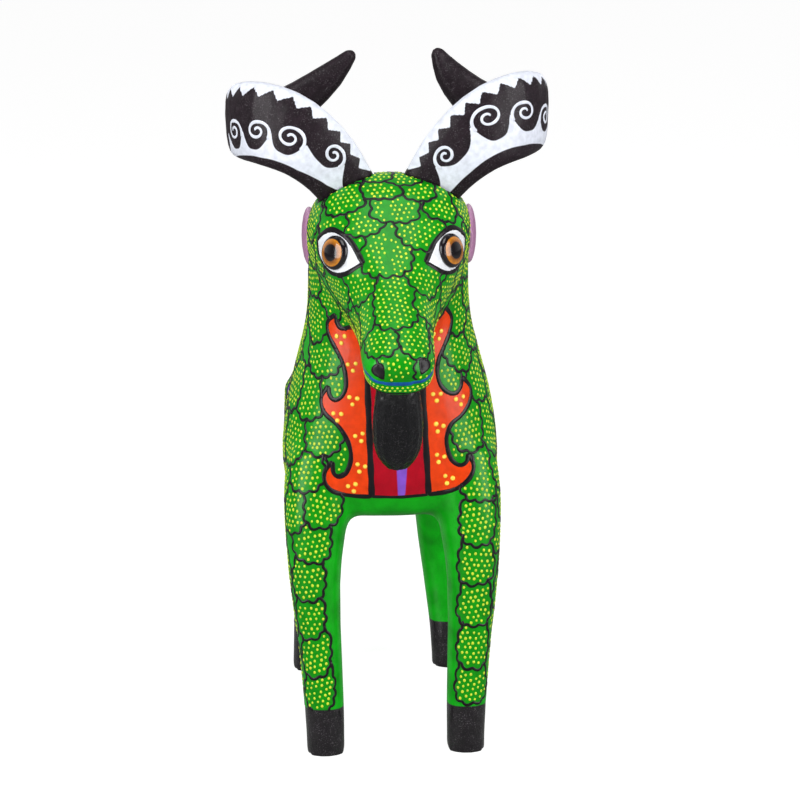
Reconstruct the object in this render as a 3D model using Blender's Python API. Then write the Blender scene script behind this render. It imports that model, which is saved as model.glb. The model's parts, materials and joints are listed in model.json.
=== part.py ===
"""A carved and painted wooden goat in the folk style of southern Mexico.

The body (trunk, neck, head and four legs) is one carving. The horns, ears and tail are
carved on their own and push into it on dowels; the beard and the eyes are glued in.
The figure faces -Y and stands on z = 0. Left and right are the animal's own, so left is +X.
It is designed about the middle of its head, and then moved so that its box stands centred on
the origin.
Every size below is in millimetres; the meshes are made in metres.
"""

import math

import bmesh
import bpy
from mathutils import Matrix, Vector

MM = 0.001
GAP = 0.3  # clearance between a piece and the pocket that it sits in
DOWEL_GAP = 0.15  # clearance round a dowel
SOCKET_OVERRUN = 1.0  # how far a socket's cutter runs out through the joint face
ROD_SEGMENTS = 20
FIGURE = "figure"  # the empty that carries every piece
SIDES = {"left": 1.0, "right": -1.0}
X_AXIS = Vector((1, 0, 0))
Y_AXIS = Vector((0, 1, 0))
Z_AXIS = Vector((0, 0, 1))

# The carving before its sockets are cut
BODY_RING = 28  # points round each section
BODY_RINGS_PER_SPAN = 3
BODY_VOXEL = 1.5  # grid that blends trunk, neck, head and legs into one skin
BODY_SMOOTH_FACTOR = 0.5  # softens the steps that the grid leaves
BODY_SMOOTH_ROUNDS = 10
BODY_TRIANGLE_SHARE = 0.085  # share of the blended skin's triangles that is kept
LEG_OVERRUN = 5.0  # how far the legs run below the floor before the soles are cut
ROUND = 2.0  # squareness of an ellipse
SMALL_RINGS_PER_SPAN = 2  # for the horns, ears, tail and beard

# Neck and chest, upright. z, middle y, half width, half depth, squareness
NECK_STATIONS = (
    (76, -27, 22, 14, 2.2),
    (80, -26, 31, 20, 2.5),
    (90, -24, 34, 24.5, 2.6),
    (100, -23, 33.9, 26, 2.6),
    (112, -22.5, 32.2, 26.5, 2.5),
    (124, -22.5, 29.2, 26.5, 2.4),
    (137, -23, 26, 25.5, 2.4),
    (150, -24, 25.2, 24, 2.4),
    (164, -25.5, 25.2, 21.5, 2.3),
    (173, -27.5, 23, 18.5, 2.3),
    (179, -30, 13, 10, 2.1),
)

# Trunk, along the figure. y, middle z, half width, half height, squareness
TRUNK_STATIONS = (
    (-34, 99, 25, 20, 2.3),
    (-26, 99.5, 31, 25, 2.3),
    (-10, 99, 31.4, 25, 2.1),
    (12, 98.8, 30.8, 24.4, 2.1),
    (32, 98.8, 30.2, 24.2, 2.1),
    (48, 99.5, 29.6, 24.2, 2.1),
    (60, 100, 25.5, 21.5, 2.1),
    (68, 100, 16, 14, 2.1),
)

# Head, from its back to its nose. The stations lie on a line that slopes down to the nose;
# distance along it, rise to the middle of the section, half width, half height, squareness,
# and how much wider than its middle the section's top is
HEAD_START = Vector((0, -18, 162))
HEAD_END = Vector((0, -90, 131))
HEAD_STATIONS = (
    (0, 1.5, 21, 18.5, 2.2, 0),
    (8, 3.2, 25.4, 25.4, 2.5, 0.05),
    (18, 4.4, 24.4, 25.6, 2.6, 0.12),
    (28, 3.4, 21.4, 23, 2.6, 0.24),
    (36, 2, 17.8, 20.4, 2.6, 0.32),
    (43, 0.4, 14.6, 18.2, 2.5, 0.26),
    (50, -0.6, 12, 16.5, 2.5, 0.1),
    (60, -0.4, 11.2, 13.2, 2.5, 0),
    (69, -0.3, 11.1, 10.2, 2.5, 0),
    (76.5, -0.2, 10.2, 7.6, 2.5, 0),
    (80.5, -0.6, 7.6, 5, 2.3, 0),
)

# Legs, top to bottom. z, middle x, middle y, half width, half depth
FRONT_LEG_STATIONS = (
    (98, 20.5, -33, 12, 13),
    (86, 22.6, -35, 11.4, 13),
    (76, 24.1, -37, 10.1, 12.2),
    (60, 24.9, -39, 8.4, 10.6),
    (48, 24.5, -40, 7.6, 9.2),
    (36, 23.7, -40.5, 6.9, 8.2),
    (15, 22.6, -41, 6.3, 7.4),
    (0, 22.3, -41, 6, 7.2),
)
REAR_LEG_STATIONS = (
    (102, 17.5, 47, 14, 17),
    (88, 18.8, 49, 13.2, 17),
    (74, 19.8, 51, 11.4, 14.5),
    (58, 20.6, 55.5, 8.9, 11),
    (44, 21.2, 59, 7.8, 8.8),
    (30, 22.2, 59, 7, 8),
    (14, 23.4, 56.5, 6.4, 7.5),
    (0, 24, 55.5, 6.2, 7.4),
)
LEG_SQUARENESS = 2.6

# Left horn: a flat band that coils round an upright axis beside the head.
# x, y, z, width of the band, thickness, heading of its outer face in degrees
HORN_SEAT = Vector((10.2, -34.6, 175.2))
HORN_STATIONS = (
    (12.2, -36, 178.5, 18.2, 9.4, -91),
    (14.7, -37.6, 182.6, 19, 9.4, -92),
    (18.8, -40, 188.4, 20.8, 9.2, -93),
    (25.2, -41.8, 194.6, 23, 9, -95),
    (32.6, -41, 198.9, 25, 8.8, -88),
    (39.4, -37, 200.7, 25.6, 8.6, -72),
    (44.4, -29.4, 200.2, 24.4, 8.4, -48),
    (46, -19, 198.2, 20.8, 8.2, -14),
    (44.6, -7, 196, 18, 8.2, 20),
    (40, 2, 195.6, 15.6, 8.4, 50),
    (33.4, 7, 198, 13.6, 8.4, 78),
    (26, 9.5, 202.4, 12.2, 7.8, 100),
    (18.3, 10.8, 209.6, 8.6, 6.2, 115),
    (13.6, 10.8, 216, 3.8, 3.6, 125),
)
HORN_SQUARENESS = 2.9
HORN_RING = 18
HORN_ROOT_FACING = -91
HORN_COIL_END = 7  # the station after which the band runs back in, behind itself
HORN_BREADTH = {"left": 1.05, "right": 1.0}  # the left band is a little broader
HORN_TIP_CAP = 1.2  # height of the tip's rounded end
HORN_TIP_SHARE = 0.45  # width of that end, as a share of the last station's
HORN_TIP_LEAN = 0.24  # both tips lean towards +X by this share of their rise
HORN_TILT = {"left": math.radians(2.0), "right": 0.0}  # the left horn stands a little higher
HORN_REACH = {"left": 1.8, "right": 0.0}  # and reaches further out
HORN_REACH_STATIONS = 5  # the stations over which the reach and the breadth grow in
HORN_POCKET_GAP = 0.4  # clearance round the root, which stands in a pocket in the head
HORN_POCKET_HEIGHT = 20  # the pocket's straight cutter runs clear of the head
HORN_PEG = (3.0, 9.0, 13.0)  # radius, length in the horn, length in the head

# Ears: each a leaf that lies back along the neck, seated in a shallow flat on the head.
# y, middle z, half height, half thickness
EAR_STATIONS = (
    (-27, 162, 5, 1.6),
    (-22.5, 162, 8.2, 2.3),
    (-15.5, 161.6, 9.6, 2.5),
    (-8, 160.6, 9, 2.3),
    (-1, 159.4, 7, 1.9),
    (5, 158, 4, 1.4),
    (8, 157.2, 1.6, 0.9),
)
EAR_X = {"left": 25.0, "right": 24.0}
EAR_FLARE = {"left": 3.2, "right": 0.6}  # how far the ear's back end stands out from its front
EAR_RING = 16
EAR_SEAT_DEPTH = 2.8  # from the middle of the ear to its seat
EAR_PEG_YZ = (-20.5, 161.8)
EAR_PEG = (1.6, 2.6, 9.0)  # radius, length in the ear, length in the head

# Tail: tapered and upturned. y, z, half width, half thickness
TAIL_STATIONS = (
    (66.5, 116.5, 5.2, 5.6),
    (71, 119, 5.6, 5.6),
    (76.5, 123.5, 5.4, 5),
    (80.5, 130, 4.8, 4.2),
    (82, 137, 3.6, 3.2),
    (81, 143, 1.6, 1.5),
)
TAIL_RING = 16
TAIL_SEAT_SEGMENTS = 28
TAIL_SEAT_RADIUS = 7.5
TAIL_PEG_START = Vector((0, 66.5, 116.5))
TAIL_PEG_DIRECTION = Vector((0, 0.876, 0.482)).normalized()
TAIL_PEG = (2.0, 4.0, 11.0)  # radius, length in the tail, length in the body

# Beard: hangs from under the chin. y, z, half width, half thickness
BEARD_STATIONS = (
    (-76, 126, 6.4, 5.4),
    (-75.4, 121, 7.1, 6),
    (-74, 114, 7.8, 5.9),
    (-72, 107, 7.5, 5.2),
    (-70.6, 102, 6, 4.2),
    (-69.8, 98.4, 3, 2.2),
)
BEARD_RING = 20
BEARD_SEAT_MARGIN = 1.2
BEARD_PEG = (1.8, 7.0, 5.5)  # radius, length in the beard, length in the head

# Left eye: a disc with a domed front
EYE_CENTRE = Vector((17.8, -56, 163))
EYE_FACING = Vector((0.73, -0.67, 0.14)).normalized()
EYE_RADIUS = 5.3
EYE_DOME = 2.2
EYE_RIM = 1.8
EYE_SEGMENTS = 32
EYE_RINGS = 6
EYE_DOME_ANGLE = math.radians(85)  # from the rim to the last ring, just short of the dome's top

# name: colour, roughness
PAINTS = {
    "green_scales": ((0.02, 0.36, 0.015), 0.3),
    "horn_black_and_white": ((0.05, 0.045, 0.045), 0.45),
    "mauve": ((0.42, 0.2, 0.36), 0.4),
    "beard_black": ((0.015, 0.014, 0.016), 0.4),
    "eye_amber": ((0.5, 0.2, 0.02), 0.08),
    "bare_wood": ((0.6, 0.42, 0.25), 0.7),
}


def clear_scene():
    for obj in list(bpy.data.objects):
        bpy.data.objects.remove(obj, do_unlink=True)


def paint(name):
    """The named paint as a Principled material, made once."""
    material = bpy.data.materials.get(name)
    if material is None:
        colour, roughness = PAINTS[name]
        material = bpy.data.materials.new(name)
        material.use_nodes = True
        shader = material.node_tree.nodes["Principled BSDF"]
        shader.inputs["Base Color"].default_value = (*colour, 1)
        shader.inputs["Roughness"].default_value = roughness
        shader.inputs["Metallic"].default_value = 0.0
    return material


def catmull_rom(before, start, end, after, t):
    """The value at share t of the way from start to end, on a smooth curve through all four."""
    slope = end - before
    bend = 2 * before - 5 * start + 4 * end - after
    twist = 3 * start - before - 3 * end + after
    return 0.5 * (2 * start + slope * t + bend * t**2 + twist * t**3)


def between(stations, per_span):
    """The stations and per_span - 1 more in each gap, on a Catmull-Rom curve."""
    last = len(stations) - 1
    rows = []
    for i in range(last):
        before, start = stations[max(i - 1, 0)], stations[i]
        end, after = stations[i + 1], stations[min(i + 2, last)]
        for step in range(per_span):
            t = step / per_span
            rows.append(tuple(catmull_rom(*values, t) for values in zip(before, start, end, after)))
    rows.append(tuple(stations[last]))
    return rows


def ring(centre, across, up, half_across, half_up, squareness, count, top_spread=0.0):
    """Points round centre: an ellipse, squarer as squareness rises above 2."""
    points = []
    for i in range(count):
        angle = math.tau * i / count
        c, s = math.cos(angle), math.sin(angle)
        a = math.copysign(abs(c) ** (2 / squareness), c) * half_across
        b = math.copysign(abs(s) ** (2 / squareness), s)
        points.append(centre + across * a * (1 + top_spread * b) + up * b * half_up)
    return points


def add_loft(bm, rings):
    """Skins the rings one to the next and closes both ends, facing out."""
    rows = [[bm.verts.new(point) for point in points] for points in rings]
    faces = []
    for low, high in zip(rows, rows[1:]):
        for i in range(len(low)):
            j = (i + 1) % len(low)
            faces.append(bm.faces.new((low[i], low[j], high[j], high[i])))
    faces.append(bm.faces.new(list(reversed(rows[0]))))
    faces.append(bm.faces.new(rows[-1]))
    bmesh.ops.recalc_face_normals(bm, faces=faces)


def make_object(name, bm, origin, material, parent=None):
    """An object with its origin at a point in millimetres, from a bmesh in millimetres.

    With no parent it hangs from the empty that carries the whole figure."""
    bmesh.ops.translate(bm, verts=bm.verts, vec=-origin)
    bmesh.ops.scale(bm, verts=bm.verts, vec=(MM, MM, MM))
    mesh = bpy.data.meshes.new(name)
    bm.to_mesh(mesh)
    bm.free()
    mesh.shade_smooth()
    mesh.set_sharp_from_angle(angle=math.radians(50))
    mesh.materials.append(material)
    obj = bpy.data.objects.new(name, mesh)
    bpy.context.collection.objects.link(obj)
    obj.parent = parent or bpy.data.objects[FIGURE]
    obj.location = origin * MM - obj.parent.location
    return obj


def cut(target, bm, name):
    """Takes the closed shape in bm, in millimetres, away from target."""
    cutter = make_object(name, bm, Vector((0, 0, 0)), paint("bare_wood"))
    cutter.hide_render = True
    cutter.display_type = "WIRE"
    modifier = target.modifiers.new(name, "BOOLEAN")
    modifier.operation = "DIFFERENCE"
    modifier.solver = "EXACT"
    modifier.object = cutter


def frame_across(direction, hint):
    """Two unit vectors square to direction, the second one as near to hint as can be."""
    up = (hint - direction * hint.dot(direction)).normalized()
    return direction.cross(up).normalized(), up


def rod(start, direction, length, radius, count=ROD_SEGMENTS):
    """A closed round rod."""
    hint = Z_AXIS if abs(direction.z) < 0.9 else Y_AXIS
    across, up = frame_across(direction, hint)
    ends = (start, start + direction * length)
    bm = bmesh.new()
    add_loft(bm, [ring(end, across, up, radius, radius, ROUND, count) for end in ends])
    return bm


def neck_rings():
    rings = []
    for z, y, half_width, half_depth, squareness in between(NECK_STATIONS, BODY_RINGS_PER_SPAN):
        sizes = (half_width, half_depth, squareness, BODY_RING)
        rings.append(ring(Vector((0, y, z)), X_AXIS, Y_AXIS, *sizes))
    return rings


def trunk_rings():
    rings = []
    for y, z, half_width, half_height, squareness in between(TRUNK_STATIONS, BODY_RINGS_PER_SPAN):
        sizes = (half_width, half_height, squareness, BODY_RING)
        rings.append(ring(Vector((0, y, z)), X_AXIS, Z_AXIS, *sizes))
    return rings


def head_rings():
    forward = (HEAD_END - HEAD_START).normalized()
    across, up = frame_across(forward, Z_AXIS)
    rings = []
    for row in between(HEAD_STATIONS, BODY_RINGS_PER_SPAN):
        distance, rise, half_width, half_height, squareness, top_spread = row
        centre = HEAD_START + forward * distance + up * rise
        sizes = (half_width, half_height, squareness, BODY_RING, top_spread)
        rings.append(ring(centre, across, up, *sizes))
    return rings


def leg_rings(stations, side):
    overrun = (-LEG_OVERRUN,) + stations[-1][1:]
    rings = []
    for z, x, y, half_width, half_depth in between(stations, BODY_RINGS_PER_SPAN) + [overrun]:
        sizes = (half_width, half_depth, LEG_SQUARENESS, BODY_RING)
        rings.append(ring(Vector((side * x, y, z)), X_AXIS, Y_AXIS, *sizes))
    return rings


def add_blend(body):
    """Blends the overlapping lofts into one skin and thins its mesh."""
    remesh = body.modifiers.new("blend", "REMESH")
    remesh.mode = "VOXEL"
    remesh.voxel_size = BODY_VOXEL * MM
    smooth = body.modifiers.new("smooth", "SMOOTH")
    smooth.factor = BODY_SMOOTH_FACTOR
    smooth.iterations = BODY_SMOOTH_ROUNDS
    thin = body.modifiers.new("thin", "DECIMATE")
    thin.decimate_type = "COLLAPSE"
    thin.ratio = BODY_TRIANGLE_SHARE


def cut_soles(body):
    """Cuts all four soles flat on the floor."""
    half = 150  # half the side of a block that holds all four hooves
    depth = 20
    corners = ((-half, -half), (half, -half), (half, half), (-half, half))
    bm = bmesh.new()
    add_loft(bm, [[Vector((x, y, z)) for x, y in corners] for z in (-depth, 0)])
    cut(body, bm, "floor_cutter")


def make_body():
    bm = bmesh.new()
    for rings in (neck_rings(), trunk_rings(), head_rings()):
        add_loft(bm, rings)
    for side in SIDES.values():
        add_loft(bm, leg_rings(FRONT_LEG_STATIONS, side))
        add_loft(bm, leg_rings(REAR_LEG_STATIONS, side))
    body = make_object("body", bm, Vector((0, 0, 0)), paint("green_scales"))
    add_blend(body)
    cut_soles(body)
    return body


def make_dowel(name, sizes, joint, outward, piece, body):
    """A dowel across the joint face, with its two sockets.

    Its sizes are its radius, its length in the piece and its length in the body."""
    radius, in_piece, in_body = sizes
    start = joint - outward * in_body
    make_object(name, rod(start, outward, in_body + in_piece, radius), start, paint("bare_wood"), piece)
    socket_radius = radius + DOWEL_GAP
    mouth = joint - outward * SOCKET_OVERRUN
    depth = SOCKET_OVERRUN + in_piece + GAP
    cut(piece, rod(mouth, outward, depth, socket_radius), name + "_socket_in_piece")
    bottom = start - outward * GAP
    depth = GAP + in_body + SOCKET_OVERRUN
    cut(body, rod(bottom, outward, depth, socket_radius), name + "_socket_in_body")


def horn_placing(side_name):
    """Mirrors the left horn's design to its side and tilts it about its seat."""
    side = SIDES[side_name]
    mirror = Matrix.Diagonal((side, 1, 1, 1))
    seat = mirror @ HORN_SEAT
    tilt = Matrix.Rotation(-side * HORN_TILT[side_name], 4, "Y")
    return Matrix.Translation(seat) @ tilt @ Matrix.Translation(-seat) @ mirror


def horn_stations(side_name):
    """The left horn's stations, with this side's reach and with both tips leaning one way."""
    side = SIDES[side_name]
    coil_height = HORN_STATIONS[HORN_COIL_END][2]
    rows = []
    for i, (x, y, z, width, thickness, heading) in enumerate(HORN_STATIONS):
        rise = max(z - coil_height, 0) if i > HORN_COIL_END else 0
        growth = min(i / HORN_REACH_STATIONS, 1)
        x += HORN_REACH[side_name] * growth + side * HORN_TIP_LEAN * rise
        width *= 1 + (HORN_BREADTH[side_name] - 1) * growth
        rows.append((x, y, z, width, thickness, heading))
    return rows


def horn_pull(placing):
    """The direction in which a horn leaves the head: along its straight root."""
    root = Vector(HORN_STATIONS[0][:3])
    return (placing.to_3x3() @ (root - HORN_SEAT)).normalized()


def horn_root_ring(placing, height, extra=0.0):
    """The root's section, at a height above the seat, with extra clearance all round."""
    root = Vector(HORN_STATIONS[0][:3])
    direction = (root - HORN_SEAT).normalized()
    heading = math.radians(HORN_ROOT_FACING)
    across, up = frame_across(direction, Vector((math.cos(heading), math.sin(heading), 0)))
    width, thickness = HORN_STATIONS[0][3:5]
    points = ring(
        HORN_SEAT + direction * height,
        across,
        up,
        width / 2 + extra,
        thickness / 2 + extra,
        HORN_SQUARENESS,
        HORN_RING,
    )
    return [placing @ point for point in points]


def horn_rings(placing, side_name, extra=0.0):
    """The whole horn, seat to tip, or with extra its clearance shape."""
    rows = between(horn_stations(side_name), SMALL_RINGS_PER_SPAN)
    centres = [Vector(row[:3]) for row in rows]
    root_height = (centres[0] - HORN_SEAT).length
    rings = [horn_root_ring(placing, height, extra) for height in (-extra, root_height)]
    for i in range(1, len(rows)):
        direction = (centres[min(i + 1, len(rows) - 1)] - centres[i - 1]).normalized()
        width, thickness, heading = rows[i][3:]
        facing = Vector((math.cos(math.radians(heading)), math.sin(math.radians(heading)), 0))
        across, up = frame_across(direction, facing)
        sizes = (width / 2 + extra, thickness / 2 + extra, HORN_SQUARENESS, HORN_RING)
        rings.append([placing @ point for point in ring(centres[i], across, up, *sizes)])
    tip = placing @ (centres[-1] + direction * (HORN_TIP_CAP + extra))
    rings.append([tip + (point - placing @ centres[-1]) * HORN_TIP_SHARE for point in rings[-1]])
    return rings


def make_horn(side_name, body):
    placing = horn_placing(side_name)
    pull = horn_pull(placing)
    seat = placing @ HORN_SEAT
    bm = bmesh.new()
    add_loft(bm, horn_rings(placing, side_name))
    horn = make_object("horn_" + side_name, bm, seat, paint("horn_black_and_white"))
    heights = (-HORN_POCKET_GAP, HORN_POCKET_HEIGHT)
    bm = bmesh.new()
    add_loft(bm, [horn_root_ring(placing, height, HORN_POCKET_GAP) for height in heights])
    cut(body, bm, "horn_pocket_cutter_" + side_name)
    bm = bmesh.new()
    add_loft(bm, horn_rings(placing, side_name, GAP))
    cut(body, bm, "horn_clearance_cutter_" + side_name)
    make_dowel("horn_peg_" + side_name, HORN_PEG, seat, pull, horn, body)


def ear_x(side_name, y):
    """The middle of the ear's thickness, which moves outward towards the ear's back end."""
    share = (y - EAR_STATIONS[0][0]) / (EAR_STATIONS[-1][0] - EAR_STATIONS[0][0])
    return SIDES[side_name] * (EAR_X[side_name] + EAR_FLARE[side_name] * share)


def ear_rings(side_name):
    rings = []
    for y, z, half_height, half_thickness in between(EAR_STATIONS, SMALL_RINGS_PER_SPAN):
        centre = Vector((ear_x(side_name, y), y, z))
        rings.append(ring(centre, X_AXIS, Z_AXIS, half_thickness, half_height, ROUND, EAR_RING))
    return rings


def ear_outline(x):
    """The ear's outline seen from the side, with clearance, at one x."""
    rows = between(EAR_STATIONS, SMALL_RINGS_PER_SPAN)
    first, last = rows[0], rows[-1]
    top = [Vector((x, y, z + half_height + GAP)) for y, z, half_height, _ in rows]
    bottom = [Vector((x, y, z - half_height - GAP)) for y, z, half_height, _ in rows]
    front = [Vector((x, first[0] - GAP, first[1] + dz)) for dz in (-first[2], first[2])]
    back = [Vector((x, last[0] + GAP, last[1] + dz)) for dz in (last[2], -last[2])]
    return front + top + back + list(reversed(bottom))


def make_ear(side_name, body):
    side = SIDES[side_name]
    seat_x = EAR_X[side_name] - EAR_SEAT_DEPTH
    joint = Vector((side * seat_x, *EAR_PEG_YZ))
    bm = bmesh.new()
    add_loft(bm, ear_rings(side_name))
    ear = make_object("ear_" + side_name, bm, joint, paint("mauve"))
    clear_of_head = 40
    bm = bmesh.new()
    add_loft(bm, [ear_outline(side * x) for x in (seat_x, clear_of_head)])
    cut(body, bm, "ear_seat_cutter_" + side_name)
    make_dowel("ear_peg_" + side_name, EAR_PEG, joint, X_AXIS * side, ear, body)


def upright_loft(stations, count):
    """A tapered shape whose stations lie on a curve in the figure's middle plane."""
    rows = between(stations, SMALL_RINGS_PER_SPAN)
    centres = [Vector((0, y, z)) for y, z, _, _ in rows]
    bm = bmesh.new()
    rings = []
    for i, (_, _, half_width, half_thickness) in enumerate(rows):
        direction = (centres[min(i + 1, len(rows) - 1)] - centres[max(i - 1, 0)]).normalized()
        up = X_AXIS.cross(direction)
        rings.append(ring(centres[i], X_AXIS, up, half_width, half_thickness, ROUND, count))
    add_loft(bm, rings)
    return bm


def make_tail(body):
    bm = upright_loft(TAIL_STATIONS, TAIL_RING)
    tail = make_object("tail", bm, TAIL_PEG_START, paint("mauve"))
    clear_of_body = 30
    bottom = TAIL_PEG_START - TAIL_PEG_DIRECTION * GAP
    seat = rod(bottom, TAIL_PEG_DIRECTION, clear_of_body, TAIL_SEAT_RADIUS, TAIL_SEAT_SEGMENTS)
    cut(body, seat, "tail_seat_cutter")
    make_dowel("tail_peg", TAIL_PEG, TAIL_PEG_START, TAIL_PEG_DIRECTION, tail, body)


def make_beard(body):
    first_rows = between(BEARD_STATIONS, SMALL_RINGS_PER_SPAN)[:2]
    top, below = (Vector((0, y, z)) for y, z, _, _ in first_rows)
    down = (below - top).normalized()
    beard = make_object("beard", upright_loft(BEARD_STATIONS, BEARD_RING), top, paint("beard_black"), body)
    across, up = frame_across(down, Y_AXIS)
    half_width, half_thickness = (half + BEARD_SEAT_MARGIN for half in BEARD_STATIONS[0][2:])
    sizes = (half_width, half_thickness, ROUND, BEARD_RING)
    clear_of_head = 20
    bm = bmesh.new()
    add_loft(bm, [ring(top + down * d, across, up, *sizes) for d in (-GAP, clear_of_head)])
    cut(body, bm, "beard_seat_cutter")
    make_dowel("beard_peg", BEARD_PEG, top, down, beard, body)


def eye_rings(centre, facing):
    """A short straight rim and then a dome, from the back of the disc to its front."""
    across, up = frame_across(facing, Z_AXIS)
    outline = [(EYE_RADIUS, -EYE_RIM)]
    for i in range(EYE_RINGS):
        angle = EYE_DOME_ANGLE * i / (EYE_RINGS - 1)
        outline.append((EYE_RADIUS * math.cos(angle), EYE_DOME * math.sin(angle)))
    return [
        ring(centre + facing * height, across, up, radius, radius, ROUND, EYE_SEGMENTS)
        for radius, height in outline
    ]


def make_eye(side_name, body):
    mirror = Matrix.Diagonal((SIDES[side_name], 1, 1))
    centre, facing = mirror @ EYE_CENTRE, mirror @ EYE_FACING
    bm = bmesh.new()
    add_loft(bm, eye_rings(centre, facing))
    make_object("eye_" + side_name, bm, centre, paint("eye_amber"), body)
    clear_of_head = 15
    bottom = centre - facing * (EYE_RIM + GAP)
    socket = rod(bottom, facing, EYE_RIM + GAP + clear_of_head, EYE_RADIUS + GAP, EYE_SEGMENTS)
    cut(body, socket, "eye_socket_cutter_" + side_name)


def stand_on_origin(figure):
    """Moves the whole figure so that its box stands centred on the origin."""
    bpy.context.view_layer.update()
    graph = bpy.context.evaluated_depsgraph_get()
    corners = [
        obj.matrix_world @ Vector(corner)
        for obj in bpy.data.objects
        if obj.type == "MESH" and not obj.hide_render
        for corner in obj.evaluated_get(graph).bound_box
    ]
    for axis in (0, 1):
        values = [corner[axis] for corner in corners]
        figure.location[axis] = -(min(values) + max(values)) / 2


def main():
    clear_scene()
    figure = bpy.data.objects.new(FIGURE, None)
    bpy.context.collection.objects.link(figure)
    body = make_body()
    for side_name in SIDES:
        make_horn(side_name, body)
        make_ear(side_name, body)
        make_eye(side_name, body)
    make_tail(body)
    make_beard(body)
    stand_on_origin(figure)


main()
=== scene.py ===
"""The looks of the carved and painted goat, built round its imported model.

Shapes are worked out in millimetres in the design's own axes: +Z up, the figure faces -Y and
+X is its own left, with x = 0 at the middle of the head and z = 0 on the floor. The record's
soles say where those axes stand in the frame.
"""

import json
import math

import bpy
import numpy as np
from mathutils import Matrix, Vector
from mathutils.bvhtree import BVHTree


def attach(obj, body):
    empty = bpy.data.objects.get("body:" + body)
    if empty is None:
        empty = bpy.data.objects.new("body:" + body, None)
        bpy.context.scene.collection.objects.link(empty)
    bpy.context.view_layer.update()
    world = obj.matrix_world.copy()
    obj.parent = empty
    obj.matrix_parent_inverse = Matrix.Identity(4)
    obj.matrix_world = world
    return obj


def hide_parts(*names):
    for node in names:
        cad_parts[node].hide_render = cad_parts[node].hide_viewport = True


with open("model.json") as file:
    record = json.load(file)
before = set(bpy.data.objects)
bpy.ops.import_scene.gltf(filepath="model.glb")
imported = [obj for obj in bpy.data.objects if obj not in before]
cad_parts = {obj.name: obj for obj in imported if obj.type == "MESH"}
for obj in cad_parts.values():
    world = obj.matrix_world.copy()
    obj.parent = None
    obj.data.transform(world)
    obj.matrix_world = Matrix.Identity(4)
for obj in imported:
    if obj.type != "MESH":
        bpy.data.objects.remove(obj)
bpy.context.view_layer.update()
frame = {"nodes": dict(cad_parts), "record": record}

MM = 0.001
FRONT_SOLE_Y = -41.05  # design y of the front soles' middle
SIDES = {"left": 1.0, "right": -1.0}
RANDOM = np.random.default_rng(7)

SKIN_VOXEL = 0.9
SKIN_ROUNDS = 26  # smoothing passes
DETAIL_VOXEL = 0.5  # for the horns, ears, tail and beard
DETAIL_ROUNDS = 14
HORN_ROUNDS = 24
# The smoothing comes in between these distances from the neighbouring pieces
SKIN_BLEND = (0.7, 2.6)
DETAIL_BLEND = (0.4, 1.6)

# Painted lines
PAINT_HEIGHT = 0.11  # how far a painted line stands proud
PAINT_ROOT = 0.1  # how far its edges run into the skin
BLUNT_END = 0.55  # width of its very end, as a share
LINE_STEP = 0.6
HEAD_LINE = 0.95
SCALE_LINE = 1.15
PANEL_LINE = 1.8
INNER_LINE = 2.4  # between the flames and the crimson
BOTTOM_LINE = 1.3
SIDE_PANEL_LINE = 1.7

# Dots
DOT_SPACING = 1.8
DOT_STRAY = 0.27
DOT_RADIUS = 0.46
HEAD_DOT_RADIUS = 0.42
HEAD_Y = -50.5  # the face's scales lie in front of this
# The dots are linked as three pieces: above this height, in front of this y, and the rest
NECK_Z = 124.0
SHOULDER_Y = -12.0
DOT_MARGIN = 0.98
DOT_HEIGHT = 0.13
SCALE_TUCK = 3.5  # how much further every scale runs under those above it
SQUARENESS = 2.5  # of a scale; 2 makes it an ellipse
# Least distance from the other pieces to a scale's middle, to its outline and to a dot
SCALE_CLEARANCE = 1.2
LINE_CLEARANCE = 0.5
DOT_CLEARANCE = 0.9

TAIL_TIP = 135.0  # height at which the tail turns black
LEG_TOP = 84.0
REAR_Y = 10.0  # the hind legs lie behind this
# x of the middle of each left leg, by height
FRONT_LEG_MIDDLE = ((0, 15, 36, 60, 76, 86), (22.3, 22.6, 23.7, 24.9, 24.1, 22.6))
REAR_LEG_MIDDLE = ((0, 14, 30, 58, 74, 88), (24, 23.4, 22.2, 20.6, 19.8, 18.8))
# Front and hind legs: how far outside their middle their plain green reaches, and up to what height
PLAIN_REACH = (2.5, 3.5)
PLAIN_TOP = (88, 78)
BELLY_TOP = 92
GAP_TOP = 90  # of the plain green above the gap between the front legs
GAP_HALF_WIDTH = 19
HOOF_FRONT = 15.5
HOOF_REAR = 16.2

# Scales on the head, as seen: a point near each middle, half width, reach down, reach up
HEAD_SCALES = (
    (-4, -41, 184, 4.8, 4.2, 5),
    (4, -42.5, 184, 5.8, 4.6, 5),
    (-3, -48, 181, 6.2, 4, 5),
    (8, -48, 180.5, 6, 4, 5),
    (-14.5, -49, 177.5, 6.6, 4.6, 6),
    (1, -53.5, 175.5, 7.4, 5, 6),
    (15, -50.5, 176, 6.2, 5.4, 6),
    (-18.5, -52, 171, 5.6, 5, 6),
    (-9, -56, 172.5, 7, 5, 6),
    (8.5, -58, 170, 8, 6.8, 7),
    (-12.5, -58.5, 167.5, 4, 4.4, 5),
    (-2.5, -62.5, 164.5, 8.6, 9.6, 8),
    (-11, -66, 155, 6.4, 6.6, 7),
    (9, -66, 158, 6.6, 8, 7),
    (-0.5, -78, 150, 7.4, 8.4, 10),
    (-6, -85.5, 142, 5.9, 7.4, 9),
    (4.6, -86, 142.5, 5.6, 8, 9),
    (-1, -92.5, 134.5, 6, 8, 8),
    (-19.5, -57.5, 150, 6, 6.5, 8),
    (19.5, -57.5, 150, 6, 6.5, 8),
)

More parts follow.
